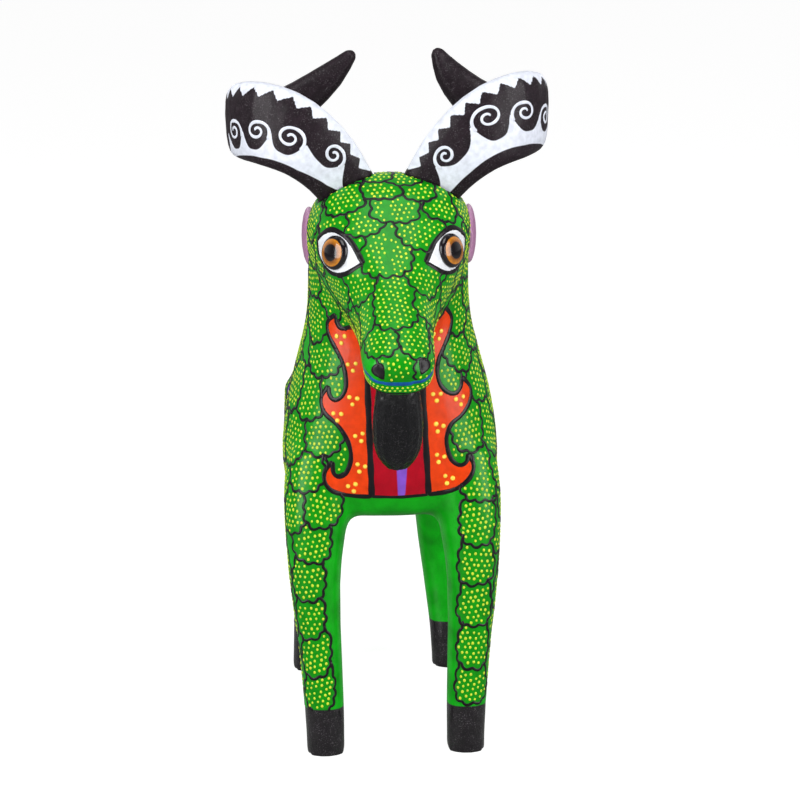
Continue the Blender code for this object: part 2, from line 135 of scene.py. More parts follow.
# Scales on the neck, the chest and the front legs
FRONT_SCALES = (
    (-23, -37, 138, 6, 6, 8),
    (-19, -42, 145, 6, 6, 8),
    (-21.7, -41.5, 128, 6.4, 6.8, 8),
    (-18.2, -45.3, 120, 5, 5.4, 6),
    (-25.6, -40.7, 114.5, 6.2, 7, 8),
    (-22, -45, 103.5, 6.6, 6.6, 7),
    (-16.7, -47.2, 96.5, 4.6, 5, 6),
    (-28, -45.8, 92.5, 6.2, 7, 7),
    (20.2, -41, 140, 6, 6, 8),
    (21.3, -41.4, 129.8, 6.6, 7, 8),
    (17.6, -45.5, 120.5, 4.6, 5.4, 6),
    (27, -37.5, 118.5, 6, 6.4, 8),
    (23.5, -44, 104.5, 6.4, 7, 8),
    (31.2, -36.3, 101, 6, 7, 8),
    (20, -46.4, 96.8, 4.6, 5, 6),
    (27.2, -46.8, 88.6, 6.4, 7.2, 8),
    (-31.6, -45, 79.5, 5.6, 7, 8),
    (-22.2, -48.4, 81.5, 6.4, 6.8, 7.4),
    (-26.2, -49.2, 70, 6.4, 6.6, 8),
    (-27.6, -48.9, 57.4, 5.8, 6.6, 8),
    (-27.2, -48.3, 45.2, 5.4, 6.4, 8),
    (-25.6, -48.3, 32.8, 5.4, 6.6, 8),
    (-24.6, -48.2, 21.2, 5.4, 6.6, 8),
    (26.4, -48.9, 74.7, 6.4, 6.6, 8),
    (25.6, -49.5, 61.6, 6.2, 6.6, 8),
    (25, -49.1, 48, 5.8, 6.6, 8),
    (24.6, -48.5, 34.4, 5.6, 6.8, 8),
    (24, -48.3, 22.4, 5.6, 6.6, 8),
)
# Least distance from a scale that fills the rest to a listed one above the legs, and to any other
LISTED_SPACING = 11.2
FILL_SPACING = 9.5
FILL_SCALE = (7.0, 6.7, 8.0)
STRIPED_SCALES = (5, 11)  # rows of HEAD_SCALES with a plain stripe down the middle
STRIPE_X = -1.6
STRIPE_HALF_WIDTH = 0.9

# Chest panel, seen from the front. Each flame is a chain of curves (x, z) that meet at its tips
RIGHT_FLAME = (
    ((-11.6, 140), (-13.2, 138.2), (-15.9, 137.3), (-17.2, 139.2), (-17.4, 141.6)),
    ((-17.4, 141.6), (-19.8, 139), (-19.7, 135.2), (-17.9, 131.5), (-15.8, 127.5), (-14.7, 123),
     (-14.7, 119), (-15.9, 116.2), (-18, 114.9), (-19.6, 116.2), (-20, 119.2)),
    ((-20, 119.2), (-22.1, 115.8), (-22.1, 112.5), (-20.7, 110), (-18.1, 107.8), (-15.8, 105),
     (-13.9, 101), (-13.4, 96.5), (-14.8, 92.2), (-17, 90.6), (-18.8, 92), (-19.1, 95.6)),
    ((-19.1, 95.6), (-21.5, 92.6), (-21.6, 89.2), (-19.7, 86.6), (-16, 85), (-12, 84.3), (-7, 84.1)),
)
LEFT_FLAME = (
    ((12, 140), (14, 140), (15.6, 141.3), (16.6, 143.6)),
    ((16.6, 143.6), (18.7, 139.8), (18.1, 135.5), (16.4, 131.7), (14.5, 127.8), (13.8, 123.7),
     (14.7, 119.5), (17, 116.8), (19.5, 116.1), (21.3, 117.7), (21.9, 120.9)),
    ((21.9, 120.9), (24.5, 117.2), (24.3, 113), (21.6, 109.2), (18.1, 106.6), (16.6, 103),
     (16.8, 99), (18.2, 95.2), (20.6, 93.5), (22.7, 94.4), (23.4, 97)),
    ((23.4, 97), (25, 93.3), (23.8, 89.6), (20.5, 86.8), (16, 85), (10.8, 84.3)),
)
RIGHT_FLAME_INNER = ((-7, 84.1), (-7.6, 105), (-8.2, 131))
LEFT_FLAME_INNER = ((10.8, 84.3), (9.8, 105), (8.6, 131))
STRIPE = ((0.6, 97), (4.3, 97), (3.4, 84.1), (1.2, 84.1))  # lilac, below the beard
PANEL_BOTTOM = ((-7, 84.1), (2, 83.8), (10.8, 84.3))
PANEL_BACK_Y = -30.0  # the panel is painted on the chest, in front of this
PANEL_FRONT_Y = -51.0  # and behind this, where the muzzle begins
PANEL_TOP_Z = 145.0
FAR_OUTSIDE = -6.0  # stands for any place well outside a painted area

# Clusters of three dots on the flames: x, z of each cluster's middle
FLAME_CLUSTERS = (
    (-15.9, 134.2), (-12.6, 125.8), (-12.5, 115.2), (-17.4, 110), (-10.6, 103.6), (-10.4, 93.8),
    (-13, 87.3), (14.2, 135), (13.6, 115.8), (21, 113.8), (14.2, 106), (14.4, 96.2), (17, 89.2),
)
CLUSTER_SPREAD = 1.4
CLUSTER_RADIUS = 0.86

# Flank and hind leg panels, seen from the side (y, z)
FLANK_PANEL = (
    ((-14, 121), (-11, 115), (-12, 108), (-16, 102), (-13, 95), (-5, 91), (4, 92), (9, 96), (8, 101)),
    ((8, 101), (13, 95), (20, 90), (29, 89), (37, 93), (41, 100), (39, 106)),
    ((39, 106), (46, 104), (52, 108), (53, 115), (47, 120), (40, 118), (37, 114)),
    ((37, 114), (34, 120), (26, 122), (18, 119), (14, 113)),
    ((14, 113), (11, 118), (4, 120), (-3, 117), (-6, 113), (-14, 121)),
)
SHANK_PANEL = (
    ((46, 18), (48, 30), (46, 44), (49, 56), (56, 64)),
    ((56, 64), (64, 58), (68, 46), (66, 34), (67, 24), (65, 17), (56, 16), (46, 18)),
)
SIDE_CLUSTERS = (
    (-6, 104), (3, 110), (2, 99), (17, 104), (26, 97), (30, 111), (34, 101), (46, 112), (21, 112),
    (57, 24), (58, 36), (57, 48),
)

# Left eye; the right one mirrors it
EYE_CENTRE = Vector((17.8, -56, 163))
EYE_FACING = Vector((0.73, -0.67, 0.14)).normalized()
EYE_RADIUS = 5.3
EYE_RIM = 1.8
EYE_DOME = 2.2
EYE_SEGMENTS = 64
INNER_CORNER = (9.4, -64, 160.8)
OUTER_CORNER = (23, -47.6, 166)
UPPER_LID = (INNER_CORNER, (13.2, -58.6, 167), (18.4, -53, 169.6), OUTER_CORNER)
LOWER_LID = (OUTER_CORNER, (22.8, -48.8, 160.6), (19.4, -54.2, 156.8), (14.8, -61, 157.2), INNER_CORNER)
UPPER_LID_LINE = 2.1
LOWER_LID_LINE = 1.8
PUPIL_RADIUS = 2.6
IRIS_RADIUS = 4.2

# Mouth and nostrils
MOUTH = ((-10.6, -77, 134), (-10.4, -83, 132.2), (-9.4, -88.5, 131), (-6, -91, 129.4), (-0.5, -91.6, 128.8),
         (5, -91.2, 129.3), (9, -88.8, 131), (10.2, -83, 132.2), (10.6, -77, 134))
MOUTH_LINE = 1.5
LIP_ROWS = (1.5, 3.0)  # how far each row of dots on the lower lip lies below the mouth
LIP_DOT_RADIUS = 0.38
CHIN_LINE = 0.9
CHIN_DROP = (0, 1.5, -4.2)  # from the mouth's line to the chin's
NOSTRILS = ((-6.4, -91.8, 132.8, -1), (7.2, -91.2, 134.2, 1))
NOSTRIL_LENGTH = 3.5
NOSTRIL_WIDTH = 3.4

# How deep the mouth and the nostrils are cut and how high the brows rise, and how far each reaches
MOUTH_DEPTH, MOUTH_REACH = 0.5, 1.0
NOSTRIL_DEPTH, NOSTRIL_REACH = 0.7, 1.9
BROW = (15.5, -57.5, 170.5)
BROW_HEIGHT, BROW_REACH = 0.5, 4.0

# Horns, in the left horn's design: x, y, z, width, thickness, heading of the outer face
HORN_SEAT = Vector((10.2, -34.6, 175.2))
HORN_BAND = (
    (12.2, -36, 178.5, 18.2, 9.4, -91),
    (14.7, -37.6, 182.6, 19, 9.4, -92),
    (18.8, -40, 188.4, 20.8, 9.2, -93),
    (25.2, -41.8, 194.6, 23, 9, -95),
    (32.6, -41, 198.9, 25, 8.8, -88),
    (39.4, -37, 200.7, 25.6, 8.6, -72),
    (44.4, -29.4, 200.2, 24.4, 8.4, -48),
    (46, -19, 198.2, 20.8, 8.2, -14),
    (44.6, -7, 196, 18, 8.2, 20),
    (40, 2, 195.6, 15.6, 8.4, 50),
)
HORN_TILT = {"left": math.radians(2.0), "right": 0.0}
HORN_REACH = {"left": 1.8, "right": 0.0}
HORN_BREADTH = {"left": 1.05, "right": 1.0}
HORN_PAINT_END = 66.0  # distance along the band at which the white paint stops
TOOTH_FIRST = 7.4
TOOTH_PITCH = 4.3
TOOTH_LEAN = 0.38
TOOTH_TIP = 1.5  # below the band's upper edge
TOOTH_ROOT = 4.3
# Scrolls: along, across, radius
HORN_SCROLLS = {
    "left": ((14.1, 2.6, 3.2), (29, 3.7, 3.9), (38.8, 1.4, 3.5), (49.4, -0.6, 3.7)),
    "right": ((14.9, 3, 3.3), (27.2, -0.8, 3.8), (36.6, -1.9, 3.4), (46.8, -2.3, 3.6)),
}
HORN_BAYS = {"left": (-1.8, -3.9, -4.8, -5.6), "right": (-1.8, -6.2, -7.8, -8)}
HORN_ROOTS = {"left": -2.6, "right": -1.2}  # where the white wedge's upper side meets the head
# Lower edge of the white band: along, across
HORN_WHITE_EDGE = {
    "left": ((0, -4.4), (4, -5.2), (15, -6.6), (27, -7.6), (37, -8.8), (58, -10)),
    "right": ((0, -0.6), (4, -2), (9, -4.6), (20, -8.2), (33, -9.8), (58, -10.4)),
}
SCROLL_TURN = math.radians(560)
SCROLL_START = math.radians(205)
SCROLL_LINE = 1.2
SCROLL_STEP = 0.35

GREEN = (0.004, 0.26, 0.003, 1)
DEEP_GREEN = (0.003, 0.34, 0.006, 1)
BLACK = (0.007, 0.005, 0.007, 1)
HORN_BLACK = (0.015, 0.009, 0.013, 1)
BEARD_BLACK = (0.003, 0.003, 0.004, 1)
ORANGE = (0.76, 0.05, 0.003, 1)
CRIMSON = (0.4, 0.001, 0.012, 1)
LILAC = (0.22, 0.08, 0.55, 1)
WHITE = (0.78, 0.8, 0.84, 1)
HORN_WHITE = (0.72, 0.75, 0.84, 1)
MAUVE = (0.52, 0.27, 0.44, 1)
EAR_EDGE = (0.46, 0.2, 0.38, 1)
LIME = (0.64, 0.74, 0.04, 1)
LIME_RIM = (0.28, 0.55, 0.02, 1)
LIP_LIME = (0.7, 0.8, 0.06, 1)
LIP_LIME_RIM = (0.3, 0.6, 0.02, 1)
BLUE = (0.004, 0.08, 0.3, 1)
AMBER_DOT = (1.0, 0.78, 0.1, 1)
AMBER_DOT_RIM = (0.95, 0.36, 0.01, 1)
PINK_DOT = (0.95, 0.62, 0.85, 1)
PINK_DOT_RIM = (0.75, 0.3, 0.72, 1)
IRIS_DARK = (0.16, 0.05, 0.01, 1)
IRIS_AMBER = (0.62, 0.22, 0.012, 1)
WOOD_PALE = (0.62, 0.42, 0.22, 1)
WOOD_DARK = (0.4, 0.24, 0.11, 1)
# Pale grey of the painted glints, specks of highlight laid into the black paint's colour
GLINT_GREY = (0.3, 0.28, 0.3, 1)

CAMERA_TARGET = (3.4, -5.0, 105.2)
CAMERA_TURN = (-3, 12, 0.6)  # azimuth, elevation and roll, in degrees
CAMERA_DISTANCE = 1.15
CAMERA_LENS = 160.4
CAMERA_SHIFT = (0.00375, 0.0025)
FLOOR_HALF = 6.0
FLOOR_GLOW = 0.88  # the floor's own light, for the camera only
FRONT_LIGHT = 0.08  # the room's light from the photographer's side; the camera sees the room as white
BACK_LIGHT = 0.65  # and from the white sweep behind the figure, which pales its edges
# Soft boxes: name, place, size, power
LIGHTS = (
    ("softbox_right", (-0.85, -0.6, 0.35), (0.6, 0.9), 10.5),
    ("softbox_left", (0.85, -0.6, 0.35), (0.6, 0.9), 9.5),
    ("top", (0.0, -0.4, 1.1), (0.6, 0.6), 4),
    ("strip_right", (-0.6, -1.05, 0.35), (0.08, 0.8), 1.5),
    ("strip_left", (0.6, -1.05, 0.35), (0.08, 0.8), 1.5),
)


# ---------------------------------------------------------------- frame and meshes


def design_origin():
    """Where the design's axes stand in the frame, in millimetres."""
    soles = {mount["name"]: np.array(mount["pos_m"]) / MM for mount in frame["record"]["mounts"]}
    middle = np.mean(list(soles.values()), axis=0)
    return np.array((middle[0], soles["sole_front_left"][1] - FRONT_SOLE_Y, 0.0))


ORIGIN = design_origin()


def node_mesh(name):
    """A CAD node's points, in design millimetres, and its faces."""
    mesh = frame["nodes"][name].data
    points = np.array([v.co for v in mesh.vertices]) / MM - ORIGIN
    return points, [tuple(p.vertices) for p in mesh.polygons]


def tree_of(points, faces):
    return BVHTree.FromPolygons([Vector(p) for p in points], [tuple(f) for f in faces])


def link(name, points, faces, material, body, slot, replaces=(), values=None):
    """A finished piece from design millimetres. values are per-point numbers for its material."""
    mesh = bpy.data.meshes.new(name)
    mesh.from_pydata(((points + ORIGIN) * MM).tolist(), [], [tuple(map(int, f)) for f in faces])
    mesh.shade_smooth()
    mesh.materials.append(material)
    for key, numbers in (values or {}).items():
        attribute = mesh.attributes.new(key, "FLOAT", "POINT")
        attribute.data.foreach_set("value", np.asarray(numbers, np.float32))
    piece = bpy.data.objects.new(name, mesh)
    bpy.context.scene.collection.objects.link(piece)
    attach(piece, body)
    if replaces:
        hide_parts(*replaces)


def ring_faces(rings, sides, start=0, flip=False):
    """Quads between closed rings of points, with a cap on the first and the last."""
    faces = []
    for low in range(start, start + (rings - 1) * sides, sides):
        for i in range(sides):
            j = (i + 1) % sides
            faces.append((low + i, low + j, low + sides + j, low + sides + i))
    last = start + (rings - 1) * sides
    caps = [tuple(start + i for i in reversed(range(sides))), tuple(last + i for i in range(sides))]
    if flip:
        return [(b, a, d, c) for a, b, c, d in faces] + [cap[::-1] for cap in caps]
    return faces + caps


def voxel_skin(points, faces, voxel):
    """The closed shape's skin as an even grid of quads."""
    mesh = bpy.data.meshes.new("draft")
    mesh.from_pydata(points.tolist(), [], faces)
    draft = bpy.data.objects.new("draft", mesh)
    bpy.context.scene.collection.objects.link(draft)
    remesh = draft.modifiers.new("remesh", "REMESH")
    remesh.mode = "VOXEL"
    remesh.voxel_size = voxel
    graph = bpy.context.evaluated_depsgraph_get()
    result = draft.evaluated_get(graph).to_mesh()
    skin = np.empty(len(result.vertices) * 3)
    result.vertices.foreach_get("co", skin)
    skin_faces = [tuple(p.vertices) for p in result.polygons]
    draft.evaluated_get(graph).to_mesh_clear()
    bpy.data.objects.remove(draft)
    return skin.reshape(-1, 3), skin_faces


def relax(points, faces, weight, rounds):
    """Smooths without shrinking, by each point's weight."""
    ends = {tuple(sorted((f[i], f[i - 1]))) for f in faces for i in range(len(f))}
    one, two = np.array(sorted(ends)).T
    size = len(points)
    count = (np.bincount(one, minlength=size) + np.bincount(two, minlength=size))[:, None]
    points = points.copy()
    for i in range(rounds * 2):
        pull = 0.5 if i % 2 == 0 else -0.52
        columns = [np.bincount(one, p[two], size) + np.bincount(two, p[one], size) for p in points.T]
        points += (np.stack(columns, axis=1) / count - points) * pull * weight[:, None]
    return points


def point_normals(points, faces):
    corners = np.array(faces)
    a, b, c, d = (points[corners[:, i]] for i in range(4))
    facing = np.cross(c - a, d - b)
    normals = np.zeros_like(points)
    for i in range(4):
        np.add.at(normals, corners[:, i], facing)
    return normals / np.maximum(np.linalg.norm(normals, axis=1), 1e-9)[:, None]


def distance_to(tree, points, far=6.0):
    return np.array([tree.find_nearest(Vector(p), far)[3] or far for p in points])


def neighbours_of(*own):
    """A search tree of every CAD node except those named."""
    points, faces = np.empty((0, 3)), []
    for name in sorted(frame["nodes"]):
        if name not in own:
            node_points, node_faces = node_mesh(name)
            faces += [tuple(i + len(points) for i in face) for face in node_faces]
            points = np.concatenate([points, node_points])
    return tree_of(points, faces)


def spread_out(points, order, gap):
    """Picks indices in order, each further than gap from all those picked before it."""
    chosen = []
    for index in order:
        if not chosen or np.linalg.norm(points[chosen] - points[index], axis=1).min() > gap:
            chosen.append(index)
    return chosen


# ---------------------------------------------------------------- curves and painted lines


def curve(knots, per_span=8):
    """A smooth open curve through the knots."""
    knots = np.array(knots, float)
    padded = np.concatenate([2 * knots[:1] - knots[1:2], knots, 2 * knots[-1:] - knots[-2:-1]])
    rows = []
    for i in range(len(knots) - 1):
        a, b, c, d = padded[i : i + 4]
        for t in np.arange(per_span) / per_span:
            bend = (2 * a - 5 * b + 4 * c - d) * t**2 + (3 * b - a - 3 * c + d) * t**3
            rows.append(0.5 * (2 * b + (c - a) * t + bend))
    return np.array(rows + [knots[-1]])


def chain(curves, per_span=8):
    """Curves that meet at sharp corners, as one line."""
    lines = [curve(knots, per_span) for knots in curves]
    return np.concatenate([line[:-1] for line in lines[:-1]] + [lines[-1]])


def even(line, step):
    """The line at even steps, keeping its ends."""
    lengths = np.concatenate([[0], np.cumsum(np.linalg.norm(np.diff(line, axis=0), axis=1))])
    count = max(int(round(lengths[-1] / step)), 2)
    marks = np.linspace(0, lengths[-1], count + 1)
    return np.stack([np.interp(marks, lengths, line[:, i]) for i in range(line.shape[1])], axis=1)


def inside_distance(points, outline):
    """Distance from each flat point to a closed outline, positive inside."""
    starts, ends = outline, np.roll(outline, -1, axis=0)
    best = np.full(len(points), 1e9)
    crossings = np.zeros(len(points), int)
    for a, b in zip(starts, ends):
        run = b - a
        share = np.clip(((points - a) @ run) / max(run @ run, 1e-12), 0, 1)
        best = np.minimum(best, np.linalg.norm(points - a - share[:, None] * run, axis=1))
        straddles = (a[1] > points[:, 1]) != (b[1] > points[:, 1])
        if abs(run[1]) > 1e-12:
            x = a[0] + (points[:, 1] - a[1]) * run[0] / run[1]
            crossings += straddles & (points[:, 0] < x)
    return np.where(crossings % 2 == 1, best, -best)


class Surface:
    """A skin that paint is laid on."""

    def __init__(self, points, faces):
        self.tree = tree_of(points, faces)
        facing = point_normals(points, faces)[np.array(faces)].mean(axis=1)
        self.normals = facing / np.linalg.norm(facing, axis=1)[:, None]

    def snap(self, points):
        found = [self.tree.find_nearest(Vector(p)) for p in points]
        places = np.array([hit[0] for hit in found])
        return places, self.normals[[hit[2] for hit in found]]

    def drop(self, points, direction):
        """Where rays from the points first meet the skin; points that miss are left out."""
        hits = [self.tree.ray_cast(Vector(p), Vector(direction)) for p in points]
        return np.array([hit[0] for hit in hits if hit[0] is not None])

    def reach(self, centre, directions, distances):
        """Points on the skin at given straight distances from centre."""
        places = centre + directions * distances[:, None]
        for _ in range(3):
            places, normals = self.snap(places)
            away = places - centre
            length = np.maximum(np.linalg.norm(away, axis=1), 1e-6)
            final, final_normals = places, normals
            places = centre + away / length[:, None] * distances[:, None]
        return final, final_normals


class Strokes:
    """Gathers painted lines, as low closed ribbons, into one mesh."""

    def __init__(self):
        self.points, self.faces, self.count = [], [], 0

    def add(self, surface, line, width, height=PAINT_HEIGHT, step=LINE_STEP):
        places, normals = surface.snap(even(line, step))
        along = np.gradient(places, axis=0)
        across = np.cross(along, normals)
        across /= np.maximum(np.linalg.norm(across, axis=1), 1e-9)[:, None]
        length = len(places)
        half = np.broadcast_to(np.asarray(width) / 2, (length,)).copy()
        half[[0, -1]] *= BLUNT_END
        half *= 1 + 0.1 * np.sin(np.cumsum(RANDOM.normal(0.35, 0.25, length)))
        rails = []
        for share, lift in ((-1, -PAINT_ROOT), (-0.6, height), (0.6, height), (1, -PAINT_ROOT)):
            rail, rail_normals = surface.snap(places + across * (half * share)[:, None])
            rails.append(rail + rail_normals * lift)
        self.points.append(np.stack(rails, axis=1).reshape(-1, 3))
        self.faces += ring_faces(length, len(rails), self.count)
        self.count += length * len(rails)

    def link(self, name, material, body="figure", slot="body_paint"):
        link(name, np.concatenate(self.points), self.faces, material, body, slot)


def link_dots(name, spots, down, radii, material, height=DOT_HEIGHT, stretch=1.22, sides=8, body="figure"):
    """Raised dots as low closed domes, drawn out along down. rim grows from their crown to 1 at the edge."""
    places, normals = spots
    downs = down - normals * (down * normals).sum(1)[:, None]
    downs /= np.maximum(np.linalg.norm(downs, axis=1), 1e-9)[:, None]
    across = np.cross(downs, normals)
    rings = ((1.0, -0.5), (0.72, 0.62), (0.3, 1.0))
    rows = []
    for share, lift in rings:
        for angle in math.tau * np.arange(sides) / sides:
            offset = across * math.cos(angle) + downs * math.sin(angle) * stretch
            rows.append(places + offset * (radii * share)[:, None] + normals * height * lift)
    size = len(rows)
    faces = []
    for start in range(0, len(places) * size, size):
        faces += ring_faces(len(rings), sides, start, flip=True)
    rim = np.tile(np.repeat([ring[0] for ring in rings], sides), len(places))
    slot = "tail_paint" if body == "tail" else "body_paint"
    link(name, np.stack(rows, axis=1).reshape(-1, 3), faces, material, body, slot, values={"rim": rim})


# ---------------------------------------------------------------- materials


def new_material(name):
    material = bpy.data.materials.new(name)
    material.use_nodes = True
    tree = material.node_tree
    return material, tree, tree.nodes["Principled BSDF"]


def settle(node, inputs):
    """Sets a node's inputs, each from a value or from another node's output."""
    for key, value in inputs.items():
        if isinstance(value, bpy.types.NodeSocket):
            node.id_data.links.new(value, node.inputs[key])
        else:
            node.inputs[key].default_value = value


def add_node(tree, kind, inputs=None, **settings):
    node = tree.nodes.new(kind)
    for key, value in settings.items():
        setattr(node, key, value)
    settle(node, inputs or {})
    return node


def mix(tree, factor, one, two):
    node = add_node(tree, "ShaderNodeMix", {0: factor, 6: one, 7: two}, data_type="RGBA")
    return node.outputs[2]


def maths(tree, operation, *values):
    return add_node(tree, "ShaderNodeMath", dict(enumerate(values)), operation=operation).outputs[0]


def noise(tree, scale, detail=3.0, stretch=(1, 1, 1)):
    """Noise over the object's own coordinates; scale counts features per millimetre."""
    place = add_node(tree, "ShaderNodeTexCoord").outputs["Object"]
    mapping = add_node(tree, "ShaderNodeMapping", {"Vector": place, "Scale": stretch})
    inputs = {"Vector": mapping.outputs[0], "Scale": scale / MM, "Detail": detail}
    return add_node(tree, "ShaderNodeTexNoise", inputs).outputs["Fac"]


def remap(tree, value, low, high, out_low, out_high):
    inputs = {0: value, 1: low, 2: high, 3: out_low, 4: out_high}
    return add_node(tree, "ShaderNodeMapRange", inputs).outputs[0]


def shade(tree, colour, amount=0.16, scale=0.35):
    """Uneven brushwork: the colour a little darker and lighter from place to place."""
    value = remap(tree, noise(tree, scale), 0.3, 0.7, 1 - amount, 1 + amount)
    return add_node(tree, "ShaderNodeHueSaturation", {"Value": value, "Color": colour}).outputs[0]


def grain(tree, shader, fine=0.25, coarse=0.2, fine_scale=4.0, coarse_scale=0.8):
    """Brush marks and the tooth of the wood under the paint, as bump."""
    inputs = {"Strength": fine, "Distance": 0.1 * MM, "Height": noise(tree, fine_scale, 4.0)}
    small = add_node(tree, "ShaderNodeBump", inputs).outputs[0]
    height = noise(tree, coarse_scale, 3.0, (1, 1, 0.35))
    inputs = {"Strength": coarse, "Distance": 0.5 * MM, "Height": height, "Normal": small}
    large = add_node(tree, "ShaderNodeBump", inputs).outputs[0]
    settle(shader, {"Normal": large})


def painted_glints(tree, colour, amount):
    """Pale specks of painted highlight: glints laid into the colour where light would catch on rough paint.
    """
    fine = remap(tree, noise(tree, 2.4, 3.0), 0.55, 0.75, 0.0, amount)
    patchy = remap(tree, noise(tree, 0.35), 0.4, 0.6, 0.25, 1.0)
    return mix(tree, maths(tree, "MULTIPLY", fine, patchy), colour, GLINT_GREY)


def varnish(tree, shader, roughness=0.38, coat=0.4, coat_roughness=0.22):
    spread = remap(tree, noise(tree, 1.4), 0.3, 0.7, roughness - 0.07, roughness + 0.09)
    settle(shader, {"Specular IOR Level": 0.1, "Roughness": spread})
    settle(shader, {"Coat Weight": coat, "Coat Roughness": coat_roughness})


def lay(tree, shader, colour, polish=(), tooth=()):
    """The colour, then the varnish and the brush marks by their own settings."""
    settle(shader, {"Base Color": colour})
    varnish(tree, shader, *polish)
    grain(tree, shader, *tooth)


def painted(name, colour, amount=0.16, roughness=0.38, coat=0.4, fine=0.25, coarse=0.2):
    material, tree, shader = new_material(name)
    lay(tree, shader, shade(tree, colour, amount), (roughness, coat), (fine, coarse))
    return material


def step_at(tree, value, level, softness):
    """0 to 1 as value passes level."""
    return remap(tree, value, level - softness, level + softness, 0.0, 1.0)


def stored(tree, name):
    return add_node(tree, "ShaderNodeAttribute", attribute_name=name).outputs["Fac"]


def mask(tree, name, softness=0.12):
    """0 to 1 across the edge of the painted area whose inside distance is stored under name."""
    return step_at(tree, stored(tree, name), 0.0, softness)


def body_paint():
    material, tree, shader = new_material("painted_skin")
    colour = mix(tree, mask(tree, "plain"), shade(tree, GREEN), shade(tree, DEEP_GREEN, 0.3, 0.12))
    for name, paint in (("orange", ORANGE), ("crimson", CRIMSON), ("lilac", LILAC), ("white", WHITE)):
        colour = mix(tree, mask(tree, name), colour, shade(tree, paint, 0.12))
    hoof = mask(tree, "black")
    # The hooves' black, with painted glints of highlight in its colour
    colour = mix(tree, hoof, colour, painted_glints(tree, shade(tree, BLACK, 0.3), 0.36))
    coat, fine, coarse = (remap(tree, hoof, 0, 1, *ends) for ends in ((0.28, 0.9), (0.25, 1), (0.2, 1)))
    lay(tree, shader, colour, (0.38, coat), (fine, coarse))
    return material


def dot_paint(name, middle, rim, edge=0.8):
    material, tree, shader = new_material(name)
    colour = mix(tree, step_at(tree, stored(tree, "rim"), edge, 0.15), middle, rim)
    lay(tree, shader, shade(tree, colour, 0.1, 0.6), (0.36, 0.4), (0.15, 0.1))
    return material


def horn_paint():
    material, tree, shader = new_material("horn_black_and_white")
    # The horn's black, with painted glints of highlight in its colour
    dark = painted_glints(tree, shade(tree, HORN_BLACK, 0.3, 0.5), 0.3)
    light = shade(tree, HORN_WHITE, 0.12, 0.5)
    lay(tree, shader, mix(tree, mask(tree, "white", 0.1), dark, light), (0.5, 0.2, 0.3), (0.4, 0.25))
    return material


def eye_glass():
    """Black pupil, amber iris and black ring, by distance from the eye's middle."""
    material, tree, shader = new_material("glass_eye")
    radius = stored(tree, "radius")
    outward = remap(tree, radius, PUPIL_RADIUS, IRIS_RADIUS, 0.0, 1.0)
    amber = shade(tree, mix(tree, outward, IRIS_DARK, IRIS_AMBER), 0.2, 1.2)
    colour = mix(tree, step_at(tree, radius, PUPIL_RADIUS, 0.15), BLACK, amber)
    colour = mix(tree, step_at(tree, radius, IRIS_RADIUS, 0.12), colour, BLACK)
    settle(shader, {"Base Color": colour, "Roughness": 0.18, "Specular IOR Level": 0.2})
    settle(shader, {"Coat Weight": 0.8, "Coat Roughness": 0.04})
    return material


def two_tone(name, area, one, two, amount=0.16, scale=0.35):
    """One colour outside the area and another inside it."""
    material, tree, shader = new_material(name)
    lay(tree, shader, mix(tree, mask(tree, area), shade(tree, one, amount, scale), shade(tree, two)))
    return material


def bare_wood():
    material, tree, shader = new_material("turned_wood")
    rings = noise(tree, 0.5, 5.0, (1, 1, 0.12))
    colour = mix(tree, step_at(tree, rings, 0.5, 0.15), WOOD_PALE, WOOD_DARK)
    settle(shader, {"Base Color": colour, "Roughness": 0.7})
    grain(tree, shader, 0.4, 0.3)
    return material


# ---------------------------------------------------------------- body


def smooth_step(value, low, high):
    share = np.clip((value - low) / (high - low), 0, 1)
    return share * share * (3 - 2 * share)


def drum(back, axis, radius, depth, sides=24):
    """A closed cylinder from back, along axis."""
    across = np.array(axis.orthogonal().normalized())
    other = np.cross(axis, across)
    angles = math.tau * np.arange(sides) / sides
    ring = np.outer(np.cos(angles), across) * radius + np.outer(np.sin(angles), other) * radius
    return np.concatenate([back + ring, back + np.array(axis) * depth + ring]), ring_faces(2, sides)


def body_skin():
    """The carving's skin, smoothed away from its sockets, with mouth and nostrils cut in.

    The eyes' sockets are filled, as paint runs up to the glass."""
    points, faces = node_mesh("body")
    for side in SIDES.values():
        middle, facing, _, _ = eye_frame(side)
        back = middle - facing * (EYE_RIM + 1.2)
        plug, plug_faces = drum(back, Vector(facing), EYE_RADIUS + 0.6, EYE_RIM + 0.6)
        faces = faces + [tuple(i + len(points) for i in face) for face in plug_faces]
        points = np.concatenate([points, plug])
    points, faces = voxel_skin(points, faces, SKIN_VOXEL)
    near = distance_to(neighbours_of("body", "eye_left", "eye_right"), points)
    weight = smooth_step(near, *SKIN_BLEND)
    points = relax(points, faces, weight, SKIN_ROUNDS)
    points[:, 2] = np.maximum(points[:, 2], 0)
    normals = point_normals(points, faces)
    to_mouth = np.min([np.linalg.norm(points - knot, axis=1) for knot in curve(MOUTH)], axis=0)
    depth = MOUTH_DEPTH * np.exp(-((to_mouth / MOUTH_REACH) ** 2))
    hollows = [((x, y, z), NOSTRIL_DEPTH, NOSTRIL_REACH) for x, y, z, _ in NOSTRILS]
    hollows += [((side * BROW[0], *BROW[1:]), -BROW_HEIGHT, BROW_REACH) for side in SIDES.values()]
    for middle, deep, reach in hollows:
        depth += deep * np.exp(-((np.linalg.norm(points - middle, axis=1) / reach) ** 2))
    points -= normals * (depth * weight)[:, None]
    return points, faces, normals


def eye_frame(side):
    """The eye's middle, the way it faces, and two axes across its face: towards the nose and up."""
    middle = np.array((side * EYE_CENTRE.x, EYE_CENTRE.y, EYE_CENTRE.z))
    facing = Vector((side * EYE_FACING.x, EYE_FACING.y, EYE_FACING.z))
    up = (Vector((0, 0, 1)) - facing * facing.z).normalized()
    inner = facing.cross(up) * -side
    return middle, np.array(facing), np.array(inner), np.array(up)


